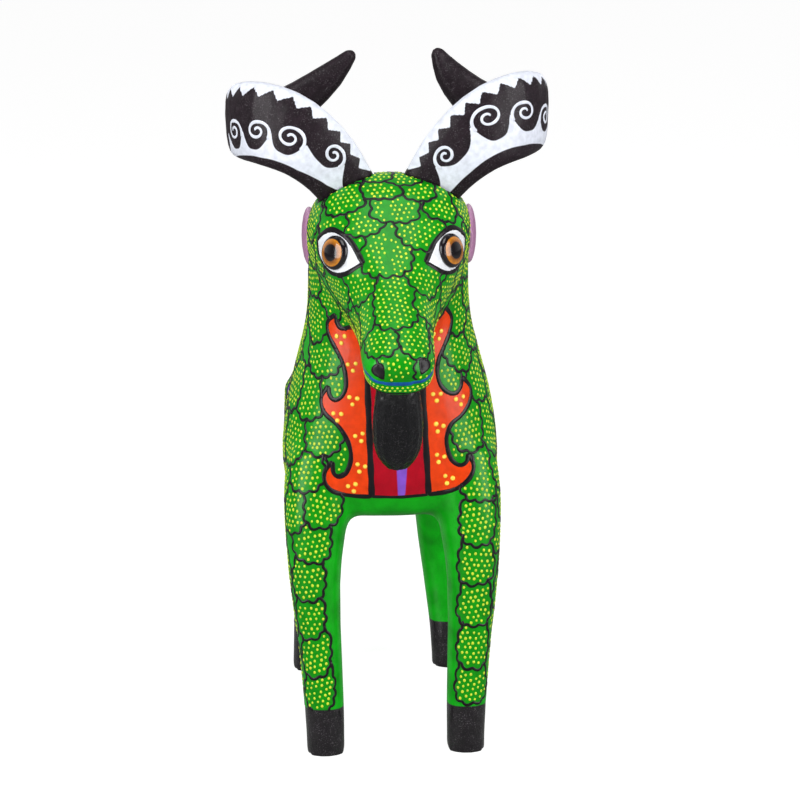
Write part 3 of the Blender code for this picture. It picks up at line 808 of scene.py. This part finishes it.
def mirrored(knots, side):
    return [(side * x, y, z) for x, y, z in knots]


def lids(side):
    return chain((mirrored(UPPER_LID, side), mirrored(LOWER_LID, side)))


def panel_outlines():
    """Closed outlines (x, z) of the flames, the crimson field, the lilac stripe and the whole panel."""
    right = np.concatenate([chain(RIGHT_FLAME), np.array(RIGHT_FLAME_INNER)[1:]])
    left = np.concatenate([chain(LEFT_FLAME), np.array(LEFT_FLAME_INNER)[1:]])
    field = np.array(RIGHT_FLAME_INNER + LEFT_FLAME_INNER[::-1])
    whole = np.concatenate([chain(RIGHT_FLAME), chain(LEFT_FLAME)[::-1]])
    return right, left, field, np.array(STRIPE), whole


def on_chest(points, normals):
    y, z = points[:, 1], points[:, 2]
    return (y < PANEL_BACK_Y) & (y > PANEL_FRONT_Y) & (z < PANEL_TOP_Z) & (normals[:, 1] < 0.1)


def on_flank(points, normals):
    return (np.abs(normals[:, 0]) > 0.25) & (np.abs(points[:, 0]) > 12)


def areas(points, normals):
    """For each painted area, how far inside it each point is."""

    def largest_inside(seen, flat, outlines):
        value = np.full(len(points), FAR_OUTSIDE)
        for outline in outlines:
            value[seen] = np.maximum(value[seen], inside_distance(flat[seen], outline))
        return value

    front_on, side_on = points[:, (0, 2)], points[:, (1, 2)]
    chest = on_chest(points, normals)
    right, left, field, stripe, whole = panel_outlines()
    flank = on_flank(points, normals) & (np.sign(points[:, 0]) == np.sign(normals[:, 0]))
    side_panels = largest_inside(flank, side_on, (chain(FLANK_PANEL), chain(SHANK_PANEL)))
    white = np.full(len(points), FAR_OUTSIDE)
    for side in SIDES.values():
        middle, facing, *across = eye_frame(side)
        away = points - middle
        near = (np.linalg.norm(away, axis=1) < 14) & (normals @ facing > 0.2)
        across = np.array(across).T
        white = np.maximum(white, largest_inside(near, away @ across, [(lids(side) - middle) @ across]))
    hoof_top = np.where(points[:, 1] < REAR_Y, HOOF_FRONT, HOOF_REAR)
    return {
        "orange": largest_inside(chest, front_on, (right, left)),
        "crimson": largest_inside(chest, front_on, (field,)),
        "lilac": np.maximum(largest_inside(chest, front_on, (stripe,)), side_panels),
        "panel": largest_inside(chest, front_on, (whole,)),
        "white": white,
        "black": np.where(points[:, 2] < 40, hoof_top - points[:, 2], FAR_OUTSIDE),
    }


def leg_middle(points):
    """How far from x = 0 the middle of the leg is at each point's height."""
    front, rear = (np.interp(points[:, 2], *leg) for leg in (FRONT_LEG_MIDDLE, REAR_LEG_MIDDLE))
    return np.where(points[:, 1] < REAR_Y, front, rear)


def plain_distance(points, normals):
    """Above 0 where no scales fill the green: inside the legs, the belly and above the leg gap."""
    x, y, z = np.abs(points[:, 0]), points[:, 1], points[:, 2]
    front = y < REAR_Y
    inward = leg_middle(points) - x + np.where(front, *PLAIN_REACH)
    inward = np.where(~front & (normals[:, 1] < -0.25), -FAR_OUTSIDE, inward)
    legs = np.where(z < np.where(front, *PLAIN_TOP), inward, FAR_OUTSIDE)
    belly = np.where(z < BELLY_TOP, -(normals[:, 2] + 0.35) * 8, FAR_OUTSIDE)
    gap = np.where(y < -25, np.minimum(GAP_TOP - z, GAP_HALF_WIDTH - x), FAR_OUTSIDE)
    return np.maximum.reduce([legs, belly, gap])


def chin_distance(points):
    """Above 0 on the chin and the lower lip."""
    mouth = np.interp(points[:, 1], (-92, -88, -83, -77, -66), (128.8, 130.8, 132.2, 134, 136))
    return np.where((points[:, 1] < -62) & (points[:, 2] < 138), mouth - points[:, 2], FAR_OUTSIDE)


def bare(points, normals, margin):
    """Whether no scale is painted at each point."""
    inside = areas(points, normals)
    painted_over = np.maximum.reduce([inside[k] for k in ("panel", "lilac", "white")])
    chin = chin_distance(points) > -max(margin, MOUTH_LINE)
    nostrils = np.min([np.linalg.norm(points - place[:3], axis=1) for place in NOSTRILS], axis=0)
    return (painted_over > -margin) | (inside["black"] > -margin * 0.6) | chin | (nostrils < 2.2 + margin / 2)


def flow(points):
    """Which way the scales point: to the nose on the head, down on the neck, to the tail on the back."""
    y, z = points[:, 1], points[:, 2]
    head = smooth_step(-y, 33, 37) * smooth_step(z, 120, 134)
    back = (1 - head) * smooth_step(y, -30, -5) * smooth_step(z, 70, 90)
    down = np.zeros_like(points)
    down[:, 1] = -0.85 * head + 0.65 * back
    down[:, 2] = -1 + 0.35 * head
    return down


class Scale:
    """One painted scale: a round shape with a lobed edge, in polar form about its middle."""

    def __init__(self, middle, normal, down, *sizes):
        self.middle, self.normal, self.sizes = middle, normal, sizes
        down = down - normal * (down @ normal)
        self.down = down / np.linalg.norm(down)
        self.side = np.cross(self.down, normal)
        self.lobes = int(round((sizes[0] + sizes[1]) * 0.85 + RANDOM.uniform(-0.6, 0.6)))
        self.turn = RANDOM.uniform(0, math.pi)
        self.wobble = RANDOM.uniform(0, math.tau, 2)

    def radius(self, angles):
        """Distance to the edge; angle 0 points down."""
        half_width, below, above = self.sizes
        sine, cosine = np.sin(angles), np.cos(angles)
        reach = np.where(cosine > 0, below, above)
        core = (np.abs(sine) / half_width) ** SQUARENESS + (np.abs(cosine) / reach) ** SQUARENESS
        lobed = 1 + 0.15 * (np.abs(np.cos(angles * self.lobes / 2 + self.turn)) - 0.7)
        uneven = 1 + 0.04 * np.sin(2 * angles + self.wobble[0]) + 0.03 * np.sin(3 * angles + self.wobble[1])
        return core ** (-1 / SQUARENESS) * lobed * uneven

    def to_skin(self, surface, angles, distances):
        """Points on the skin, and its normals there, from their polar places."""
        directions = np.outer(np.sin(angles), self.side) + np.outer(np.cos(angles), self.down)
        return surface.reach(self.middle, directions, distances)

    def edge(self, surface, count=84):
        angles = math.tau * np.arange(count) / count
        return self.to_skin(surface, angles, self.radius(angles))

    def polar(self, points):
        """How far each point is from the middle, and at what angle."""
        away = points - self.middle
        return np.linalg.norm(away, axis=1), np.arctan2(away @ self.side, away @ self.down)

    def covers(self, points, normals, margin=0.0):
        """Whether each point lies within this scale, or within margin of it."""
        distance, angles = self.polar(points)
        close = (np.abs((points - self.middle) @ self.normal) < 7) & (normals @ self.normal > -0.1)
        return close & (distance < self.radius(angles) + margin)

    def dot_places(self, surface):
        """Rows of dots, each a little out of line."""
        reach = max(self.sizes) + DOT_SPACING
        tilt = RANDOM.uniform(-0.35, 0.35)
        rows = []
        for i, v in enumerate(np.arange(-reach, reach, DOT_SPACING * 0.9)):
            for u in np.arange(-reach, reach, DOT_SPACING) + (i % 2) * DOT_SPACING / 2:
                rows.append((u, v) + RANDOM.uniform(-DOT_STRAY, DOT_STRAY, 2))
        turn = np.array([[math.cos(tilt), math.sin(tilt)], [-math.sin(tilt), math.cos(tilt)]])
        across, down = (np.array(rows) @ turn).T
        distance, angles = np.hypot(across, down), np.arctan2(across, down)
        keep = distance < self.radius(angles) - DOT_MARGIN
        return self.to_skin(surface, angles[keep], distance[keep])


def fill_places(points, normals, taken):
    """Even random places for the scales that fill what the listed ones leave."""
    order = RANDOM.permutation(len(points))[:30000]
    places, facing = points[order], normals[order]
    free = ~bare(places, facing, 0.0) & (plain_distance(places, facing) < 0)
    free &= distance_to(neighbours_of("body"), places, 3.0) >= SCALE_CLEARANCE
    to_taken = np.min([np.linalg.norm(places - middle, axis=1) for middle in taken], axis=0)
    free &= to_taken >= np.where(places[:, 2] > LEG_TOP, LISTED_SPACING, FILL_SPACING)
    return spread_out(points, order[free], FILL_SPACING)


def make_scales(surface, points, faces, normals):
    listed = np.array([row[:3] for row in HEAD_SCALES + FRONT_SCALES], float)
    middles, facing = surface.snap(listed)
    sizes = [row[3:] for row in HEAD_SCALES + FRONT_SCALES]
    chosen = fill_places(points, normals, middles)
    middles = np.concatenate([middles, points[chosen]])
    facing = np.concatenate([facing, normals[chosen]])
    sizes += [tuple(size * RANDOM.uniform(0.94, 1.06) for size in FILL_SCALE) for _ in chosen]
    sizes = [(half_width, below, above + SCALE_TUCK) for half_width, below, above in sizes]
    downs = flow(middles)
    return [Scale(*row, *size) for row, size in zip(zip(middles, facing, downs), sizes)]


def uncovered(scales, points, normals):
    """For each point, how far outside every scale it is."""
    inside = np.full(len(points), FAR_OUTSIDE)
    for scale in scales:
        near = np.where(((points - scale.middle) ** 2).sum(1) < 18**2)[0]
        distance, angles = scale.polar(points[near])
        depth = scale.radius(angles) - distance
        depth = np.where(normals[near] @ scale.normal > -0.1, depth, FAR_OUTSIDE)
        inside[near] = np.maximum(inside[near], depth)
    return -inside


def lies_over(scales, j, i, listed):
    """Whether scale j is painted over scale i: the upper one is, and on the legs a listed one is."""
    if (i < listed) != (j < listed) and scales[i].middle[2] < LEG_TOP and scales[j].middle[2] < LEG_TOP:
        return j < listed
    return (scales[j].middle - scales[i].middle) @ (scales[i].down + scales[j].down) < 0


def above_of(scales):
    """For each scale, the near ones that lie over it."""
    middles = np.array([scale.middle for scale in scales])
    listed = len(HEAD_SCALES) + len(FRONT_SCALES)
    result = []
    for i, scale in enumerate(scales):
        near = np.where(np.linalg.norm(middles - scale.middle, axis=1) < 22)[0]
        near = [j for j in near if j != i and scales[j].normal @ scale.normal > -0.2]
        result.append([scales[j] for j in near if lies_over(scales, j, i, listed)])
    return result


def runs(kept):
    """Stretches of a closed loop where kept is true, each one step longer at both ends."""
    count = len(kept)
    if kept.all():
        return [list(range(count)) + [0]]
    breaks = [i for i in range(count) if kept[i] and not kept[i - 1]]
    stretches = []
    for start in breaks:
        stop = start
        while kept[(stop + 1) % count]:
            stop += 1
        stretches.append([i % count for i in range(start - 1, stop + 2)])
    return stretches


def paint_scales(surface, scales):
    """Outlines, except where another scale, a panel or a joint covers them, and then the dots."""
    edges = [scale.edge(surface) for scale in scales]
    places, normals = (np.concatenate(parts) for parts in zip(*edges))
    joints = distance_to(neighbours_of("body"), places, 3.0)
    open_ground = ~bare(places, normals, -0.3) & (joints >= LINE_CLEARANCE)
    open_ground = np.split(open_ground, np.cumsum([len(places) for places, _ in edges])[:-1])
    lines = Strokes()
    dots = []
    for index, (scale, others) in enumerate(zip(scales, above_of(scales))):
        places, normals = edges[index]
        kept = open_ground[index]
        for other in others:
            kept &= ~other.covers(places, normals)
        for stretch in runs(kept):
            if len(stretch) > 4:
                lines.add(surface, places[stretch], HEAD_LINE if scale.middle[1] < HEAD_Y else SCALE_LINE)
        spots, normals = scale.dot_places(surface)
        free = np.ones(len(spots), bool)
        for other in others:
            free &= ~other.covers(spots, normals, DOT_MARGIN)
        if index in STRIPED_SCALES:
            free &= np.abs(spots[:, 0] - STRIPE_X) > STRIPE_HALF_WIDTH
        dots.append((spots[free], normals[free], np.tile(scale.down, (free.sum(), 1))))
    lines.link("scale_outlines", painted("line_black", BLACK, 0.3, 0.4))
    dots, normals, downs = (np.concatenate(parts) for parts in zip(*dots))
    joints = distance_to(neighbours_of("body"), dots, 3.0)
    clear = ~bare(dots, normals, 1.3) & (joints > DOT_CLEARANCE)
    link_scale_dots(dots[clear], normals[clear], downs[clear])


def link_scale_dots(dots, normals, downs):
    radii = np.where(dots[:, 1] < HEAD_Y, HEAD_DOT_RADIUS, DOT_RADIUS)
    radii = radii * RANDOM.uniform(0.86, 1.16, len(dots))
    material = dot_paint("lime_dots", LIME, LIME_RIM)
    head = dots[:, 2] > NECK_Z
    front = ~head & (dots[:, 1] < SHOULDER_Y)
    for name, part in (("head", head), ("front", front), ("rear", ~head & ~front)):
        link_dots("scale_dots_" + name, (dots[part], normals[part]), downs[part], radii[part], material)


def project(surface, flat, side=0):
    """Points drawn from the front (x, z), or from one side (y, z), laid on the skin."""
    level = np.full(len(flat), side * 60.0 if side else PANEL_FRONT_Y - 3)
    starts = np.insert(flat, 0 if side else 1, level, axis=1)
    return surface.drop(starts, (-side, 0, 0) if side else (0, 1, 0))


def on_chest_line(surface, knots):
    places = project(surface, even(curve(knots), LINE_STEP))
    return places[(places[:, 1] > PANEL_FRONT_Y) & (places[:, 1] < PANEL_BACK_Y)]


def paint_panels(surface):
    lines = Strokes()
    for knots in RIGHT_FLAME + LEFT_FLAME:
        lines.add(surface, on_chest_line(surface, knots), PANEL_LINE)
    for knots in (RIGHT_FLAME_INNER, LEFT_FLAME_INNER):
        lines.add(surface, on_chest_line(surface, knots), INNER_LINE)
    lines.add(surface, on_chest_line(surface, PANEL_BOTTOM), BOTTOM_LINE)
    for side in SIDES.values():
        for knots in FLANK_PANEL + SHANK_PANEL:
            lines.add(surface, project(surface, even(curve(knots), LINE_STEP), side), SIDE_PANEL_LINE)
    lines.link("panel_outlines", painted("panel_black", BLACK, 0.3, 0.38))


def cluster(spots):
    """Three dots round each spot."""
    rows = []
    for u, v in spots:
        turn = RANDOM.uniform(-0.35, 0.35)
        for i in range(3):
            angle = math.radians(-90) + turn + math.tau * i / 3
            rows.append((u + CLUSTER_SPREAD * math.cos(angle), v + CLUSTER_SPREAD * math.sin(angle)))
    return np.array(rows)


def paint_cluster_dots(surface):
    kinds = (
        ("flame_dots", FLAME_CLUSTERS, (0,), "amber_dots", AMBER_DOT, AMBER_DOT_RIM),
        ("flank_dots", SIDE_CLUSTERS, SIDES.values(), "pink_dots", PINK_DOT, PINK_DOT_RIM),
    )
    for name, middles, sides, paint, colour, rim in kinds:
        flat = cluster(middles)
        spots = surface.snap(np.concatenate([project(surface, flat, side) for side in sides]))
        radii = CLUSTER_RADIUS * RANDOM.uniform(0.9, 1.1, len(spots[0]))
        link_dots(name, spots, (0.0, 0.0, -1.0), radii, dot_paint(paint, colour, rim, 0.68), 0.22, 1.0, 14)


def teardrop(surface, x, y, z, side):
    """A filled nostril: rings of a teardrop shape laid on the skin."""
    middle, normal = (value[0] for value in surface.snap([(x, y, z)]))
    up = np.array((side * 0.55, 0, 0.85))  # the drop's broad end leans outward
    up = up - normal * (up @ normal)
    up /= np.linalg.norm(up)
    count = 28
    angles = math.tau * np.arange(count) / count
    wide = NOSTRIL_WIDTH * np.sin(angles) * (0.62 + 0.38 * np.cos(angles))
    reach = np.outer(wide, np.cross(up, normal)) + np.outer(NOSTRIL_LENGTH * np.cos(angles) * 0.8, up)
    points = []
    for share, lift in ((1.0, -PAINT_ROOT), (0.93, 0.08), (0.65, 0.08), (0.3, 0.08)):
        places, normals = surface.snap(middle + reach * share)
        points.append(places + normals * lift)
    return np.concatenate(points), ring_faces(len(points), count, flip=True)


def paint_face(surface):
    black = painted("face_black", BLACK, 0.3, 0.36, 0.3)
    lid_lines = Strokes()
    for side in SIDES.values():
        lid_lines.add(surface, curve(mirrored(UPPER_LID, side)), UPPER_LID_LINE)
        lid_lines.add(surface, curve(mirrored(LOWER_LID, side)), LOWER_LID_LINE)
    lid_lines.link("eyelid_lines", black)
    mouth, chin = Strokes(), Strokes()
    mouth.add(surface, curve(MOUTH), MOUTH_LINE)
    mouth.link("mouth_line", painted("mouth_blue", BLUE, 0.3))
    chin.add(surface, curve(MOUTH) + CHIN_DROP, CHIN_LINE)
    chin.link("chin_line", black)
    for name, nostril in zip(("nostril_right", "nostril_left"), NOSTRILS):
        link(name, *teardrop(surface, *nostril), black, "figure", "body_paint")
    rows = [even(curve(MOUTH)[6 + i : -6 - i], 1.55) - (0, 0, drop) for i, drop in enumerate(LIP_ROWS)]
    spots = surface.snap(np.concatenate(rows))
    radii = np.full(len(spots[0]), LIP_DOT_RADIUS)
    link_dots("lip_dots", spots, (1.0, 0.0, 0.0), radii, dot_paint("lip_dots", LIP_LIME, LIP_LIME_RIM))


def link_body(skin, scales):
    points, faces, normals = skin
    values = areas(points, normals)
    values["plain"] = uncovered(scales, points, normals)
    link("carved_body", points, faces, body_paint(), "figure", "body_paint", ("body",), values)


# ---------------------------------------------------------------- eyes, beard, ears, tail, dowels


def make_eye(side_name, material):
    """A glass disc: a straight rim and a dome."""
    node = "eye_" + side_name
    middle, facing, across, up = eye_frame(SIDES[side_name])
    up = up * SIDES[side_name]
    slopes = np.radians(np.linspace(8, 84, 12))
    radii = np.concatenate([[EYE_RADIUS, EYE_RADIUS], EYE_RADIUS * np.cos(slopes)])
    heights = np.concatenate([[-EYE_RIM, 0.0], EYE_DOME * np.sin(slopes)])
    turns = math.tau * np.arange(EYE_SEGMENTS) / EYE_SEGMENTS
    spokes = np.outer(np.cos(turns), across) + np.outer(np.sin(turns), up)
    points = np.concatenate([middle + facing * z + spokes * r for r, z in zip(radii, heights)])
    faces = ring_faces(len(radii), EYE_SEGMENTS)
    values = {"radius": np.repeat(radii, EYE_SEGMENTS)}
    link("glass_" + node, points, faces, material, "figure", "eye_glass", (node,), values)


def soft_piece(node, name, material, body, slot, rounds=DETAIL_ROUNDS, carve=None, values=None):
    """A CAD node's skin, smoothed and finely carved, in its place."""
    points, faces = node_mesh(node)
    points, faces = voxel_skin(points, faces, DETAIL_VOXEL)
    near = distance_to(neighbours_of(node), points, 3.0)
    weight = smooth_step(near, *DETAIL_BLEND)
    points = relax(points, faces, weight, rounds)
    normals = point_normals(points, faces)
    if carve is not None:
        points = points - normals * (carve(points, normals) * weight)[:, None]
    extra = values(points, normals) if values else None
    link(name, points, faces, material, body, slot, (node,), extra)
    return points, faces, normals


def beard_strands(points, normals):
    """Fine upright grooves, broken up along their length."""
    turn = np.arctan2(normals[:, 0], -normals[:, 1])
    z = points[:, 2]
    waves = np.sin(turn * 15 + 0.5 * np.sin(z * 0.5)) * 0.5 + 0.5
    breaks = 0.5 + 0.5 * np.sin(z * 2.4 + 2.2 * np.sin(turn * 6))
    return 0.16 * waves + 0.12 * waves * breaks


def beard_paint():
    material, tree, shader = new_material("beard_black")
    # The beard's black, with painted glints of highlight in its colour
    dark = painted_glints(tree, shade(tree, BEARD_BLACK, 0.4, 1.0), 0.2)
    lay(tree, shader, dark, (0.36, 0.5, 0.15), (1.0, 1.0, 2.2, 1.2))
    return material


def ear_values(points, normals):
    side = np.sign(points[:, 0].mean())
    return {"edge": 1.8 - normals[:, 0] * side * 2.4}


def tail_values(points, normals):
    return {"tip": points[:, 2] - TAIL_TIP}


def link_tail_dots(points, normals):
    """Dots spaced over the green of the tail."""
    order = RANDOM.permutation(np.where((points[:, 2] < TAIL_TIP - 1.2) & (points[:, 1] > 68))[0])
    chosen = spread_out(points, order, DOT_SPACING * 1.15)
    spots, radii = (points[chosen], normals[chosen]), np.full(len(chosen), 0.5)
    link_dots("tail_dots", spots, (0, -0.5, -1), radii, dot_paint("tail_dots", LIME, LIME_RIM), body="tail")


def make_small_pieces():
    glass = eye_glass()
    mauve = two_tone("ear_mauve", "edge", EAR_EDGE, MAUVE, 0.2, 0.6)
    for side_name in SIDES:
        make_eye(side_name, glass)
        ear = "ear_" + side_name
        soft_piece(ear, "painted_" + ear, mauve, ear, "ear_paint", values=ear_values)
    dark_tip = two_tone("tail_green_and_black", "tip", GREEN, BLACK)
    tail = soft_piece("tail", "painted_tail", dark_tip, "tail", "tail_paint", values=tail_values)
    link_tail_dots(tail[0], tail[2])
    soft_piece("beard", "carved_beard", beard_paint(), "figure", "beard_paint", carve=beard_strands)
    wood = bare_wood()
    for name, node in frame["nodes"].items():
        if "_peg" in name:
            node.data.materials.clear()
            node.data.materials.append(wood)


# ---------------------------------------------------------------- horns


class HornBand:
    """Turns points on a horn into distances along and across its band, and back."""

    def __init__(self, side_name):
        side = SIDES[side_name]
        rows = np.array(HORN_BAND, float)
        grow = np.minimum(np.arange(len(rows)) / 5, 1)
        rows[:, 0] += HORN_REACH[side_name] * grow
        rows[:, 3] *= 1 + (HORN_BREADTH[side_name] - 1) * grow
        rows = curve(rows, 12)
        mirror = Matrix.Diagonal((side, 1, 1, 1))
        seat = mirror @ HORN_SEAT
        tilt = Matrix.Rotation(-side * HORN_TILT[side_name], 4, "Y")
        placing = Matrix.Translation(seat) @ tilt @ Matrix.Translation(-seat) @ mirror
        self.placing = np.array(placing)
        self.unplacing = np.array(placing.inverted())
        self.centres = rows[:, :3]
        self.half_width = rows[:, 3] / 2
        self.half_thickness = rows[:, 4] / 2
        self.along = np.gradient(self.centres, axis=0)
        self.along /= np.linalg.norm(self.along, axis=1)[:, None]
        heading = np.radians(rows[:, 5])
        facing = np.stack([np.cos(heading), np.sin(heading), np.zeros(len(heading))], axis=1)
        facing -= self.along * (facing * self.along).sum(1)[:, None]
        self.facing = facing / np.linalg.norm(facing, axis=1)[:, None]
        self.up = -np.cross(self.along, self.facing)
        steps = np.linalg.norm(np.diff(self.centres, axis=0), axis=1)
        self.marks = np.concatenate([[0], np.cumsum(steps)])

    def to_band(self, points):
        """Distance along the band, height across it, height out of it, and its half sizes there."""
        local = points @ self.unplacing[:3, :3].T + self.unplacing[:3, 3]
        parts = np.array_split(local, len(local) // 4000 + 1)
        gaps = (np.linalg.norm(part[:, None] - self.centres, axis=2) for part in parts)
        nearest = np.concatenate([gap.argmin(axis=1) for gap in gaps])
        offset = local - self.centres[nearest]
        s = self.marks[nearest] + (offset * self.along[nearest]).sum(1)
        w = (offset * self.up[nearest]).sum(1)
        out = (offset * self.facing[nearest]).sum(1)
        return s, w, out, self.half_width[nearest], self.half_thickness[nearest]

    def from_band(self, s, w):
        """Points just outside the band's outer face."""

        def along(rows):
            return np.stack([np.interp(s, self.marks, column) for column in rows.T], axis=1)

        centre, up, facing = map(along, (self.centres, self.up, self.facing))
        thickness = np.interp(s, self.marks, self.half_thickness)
        local = centre + up * w[:, None] + facing * thickness[:, None]
        return local @ self.placing[:3, :3].T + self.placing[:3, 3]


def tooth_line(s, half_width):
    """Height of the black field's toothed upper edge."""
    share = ((s - TOOTH_FIRST) / TOOTH_PITCH) % 1
    rise = np.where(share < TOOTH_LEAN, share / TOOTH_LEAN, (1 - share) / (1 - TOOTH_LEAN))
    rise = np.where(s < TOOTH_FIRST, (TOOTH_FIRST - s) * 0.4, rise)
    rise += 2.5 * smooth_step(s, HORN_PAINT_END - 9, HORN_PAINT_END)
    root = TOOTH_ROOT * (0.76 + 0.24 * smooth_step(s, 6, 28))
    return half_width - root + (root - TOOTH_TIP) * rise


def stem_marks(side_name):
    """Where each scroll's stem rises: along, across."""
    scrolls = HORN_SCROLLS[side_name]
    stems = [(s - radius * 1.28, w + 0.6) for s, w, radius in scrolls]
    last, _, radius = scrolls[-1]
    stems.append((last + radius * 1.6, scrolls[-1][1]))
    return stems


def bay_line(s, side_name):
    """Height of the white band's upper edge: round bays between pointed stems."""
    stems = stem_marks(side_name)
    first, peak = stems[0]
    root = HORN_ROOTS[side_name]
    height = root + (peak - root) * np.clip((s - 2) / (first - 2), 0, 1) ** 2.5
    for (start, low_peak), (stop, high_peak), bottom in zip(stems, stems[1:], HORN_BAYS[side_name]):
        share = np.clip((s - start) / (stop - start), 0, 1)
        peaks = low_peak + (high_peak - low_peak) * share
        bay = bottom + (peaks - bottom) * np.abs(2 * share - 1) ** 3
        height = np.where((s >= start) & (s < stop), bay, height)
    end, peak = stems[-1]
    last = HORN_BAYS[side_name][-1]
    last = last + (peak - last) * (1 - np.clip((s - end) / 6, 0, 1)) ** 3
    fade = 5 * smooth_step(s, HORN_PAINT_END - 10, HORN_PAINT_END)
    return np.where(s >= end, last - fade, height)


def horn_values(band, side_name):
    def values(points, _):
        s, w, out, half_width, half_thickness = band.to_band(points)
        edge = np.interp(s, *np.array(HORN_WHITE_EDGE[side_name]).T)
        upper = np.minimum(w - tooth_line(s, half_width), out + 0.1 * half_thickness)
        upper = np.minimum(upper, s - 2)
        lower = np.minimum(bay_line(s, side_name) - w, w - edge)
        lower = np.minimum(lower, out - 0.15 * half_thickness)
        white = np.minimum(np.maximum(upper, lower), HORN_PAINT_END - s)
        return {"white": white}

    return values


def scroll_line(band, centre, height, radius):
    """A running scroll that rises from its stem, goes over the top and winds in."""
    share = np.linspace(0, 1, 90)
    angle = SCROLL_START - SCROLL_TURN * share
    reach = radius * (1.22 - 0.22 * np.minimum(share * 5, 1)) * (1 - 0.84 * share**1.05)
    return band.from_band(centre + reach * np.cos(angle), height + reach * np.sin(angle))


def make_horns():
    material = horn_paint()
    white = painted("scroll_white", HORN_WHITE, 0.1, 0.45, 0.25)
    for side_name in SIDES:
        node = "horn_" + side_name
        band = HornBand(side_name)
        values = horn_values(band, side_name)
        horn = soft_piece(node, "painted_" + node, material, node, "horn_paint", HORN_ROUNDS, None, values)
        surface = Surface(*horn[:2])
        scrolls = Strokes()
        for s, w, radius in HORN_SCROLLS[side_name]:
            line = scroll_line(band, s, w, radius)
            width = SCROLL_LINE * np.linspace(1.15, 0.85, len(even(line, SCROLL_STEP)))
            scrolls.add(surface, line, width, 0.08, SCROLL_STEP)
        scrolls.link("horn_scrolls_" + side_name, white, node, "horn_paint")


# ---------------------------------------------------------------- stage, light and camera


def seen_by_camera(tree):
    """1 where the camera looks straight at it, 0 where its light only falls on something else."""
    return add_node(tree, "ShaderNodeLightPath").outputs["Is Camera Ray"]


def make_floor():
    """A plain floor that the camera sees as near white, with the figure's soft shadow on it."""
    mesh = bpy.data.meshes.new("floor")
    corners = ((-1, -1), (1, -1), (1, 1), (-1, 1))
    mesh.from_pydata([(x * FLOOR_HALF, y * FLOOR_HALF, 0) for x, y in corners], [], [(0, 1, 2, 3)])
    material, tree, shader = new_material("floor_white")
    settle(shader, {"Base Color": (0.3, 0.3, 0.3, 1), "Roughness": 0.9, "Specular IOR Level": 0.0})
    glow = maths(tree, "MULTIPLY", seen_by_camera(tree), FLOOR_GLOW)
    settle(shader, {"Emission Color": (1, 1, 1, 1), "Emission Strength": glow})
    mesh.materials.append(material)
    floor = bpy.data.objects.new("floor", mesh)
    bpy.context.scene.collection.objects.link(floor)


def make_lights():
    world = bpy.data.worlds.new("studio")
    world.use_nodes = True
    tree = world.node_tree
    direction = add_node(tree, "ShaderNodeTexCoord").outputs["Generated"]
    behind = add_node(tree, "ShaderNodeSeparateXYZ", {0: direction}).outputs["Y"]
    room = remap(tree, behind, -0.05, 0.45, FRONT_LIGHT, BACK_LIGHT)
    strength = maths(tree, "MAXIMUM", room, seen_by_camera(tree))
    settle(tree.nodes["Background"], {"Color": (1, 1, 1, 1), "Strength": strength})
    bpy.context.scene.world = world
    for name, place, size, power in LIGHTS:
        data = bpy.data.lights.new(name, "AREA")
        data.shape = "RECTANGLE"
        data.size, data.size_y = size
        data.energy = power
        light = bpy.data.objects.new(name, data)
        light.location = place
        aim = Vector((0, 0, 0.1)) - light.location
        light.rotation_euler = aim.to_track_quat("-Z", "Y").to_euler()
        bpy.context.scene.collection.objects.link(light)


def make_camera():
    """Slightly above, in front and a little to the figure's right."""
    target = Vector(CAMERA_TARGET) * MM + Vector(ORIGIN) * MM
    azimuth, elevation, roll = map(math.radians, CAMERA_TURN)
    level = math.cos(elevation)
    back = Vector((math.sin(azimuth) * level, -math.cos(azimuth) * level, math.sin(elevation)))
    data = bpy.data.cameras.new("camera")
    data.sensor_width = 36
    data.lens = CAMERA_LENS
    data.shift_x, data.shift_y = CAMERA_SHIFT
    data.clip_start = 0.05
    camera = bpy.data.objects.new("camera", data)
    turn = (-back).to_track_quat("-Z", "Y").to_matrix().to_4x4()
    place = Matrix.Translation(target + back * CAMERA_DISTANCE)
    camera.matrix_world = place @ turn @ Matrix.Rotation(-roll, 4, "Z")
    bpy.context.scene.collection.objects.link(camera)
    bpy.context.scene.camera = camera


def main():
    skin = body_skin()
    surface = Surface(skin[0], skin[1])
    scales = make_scales(surface, *skin)
    link_body(skin, scales)
    paint_scales(surface, scales)
    paint_panels(surface)
    paint_cluster_dots(surface)
    paint_face(surface)
    make_small_pieces()
    make_horns()
    make_floor()
    make_lights()
    make_camera()
    bpy.context.scene.view_settings.view_transform = "Standard"


main()
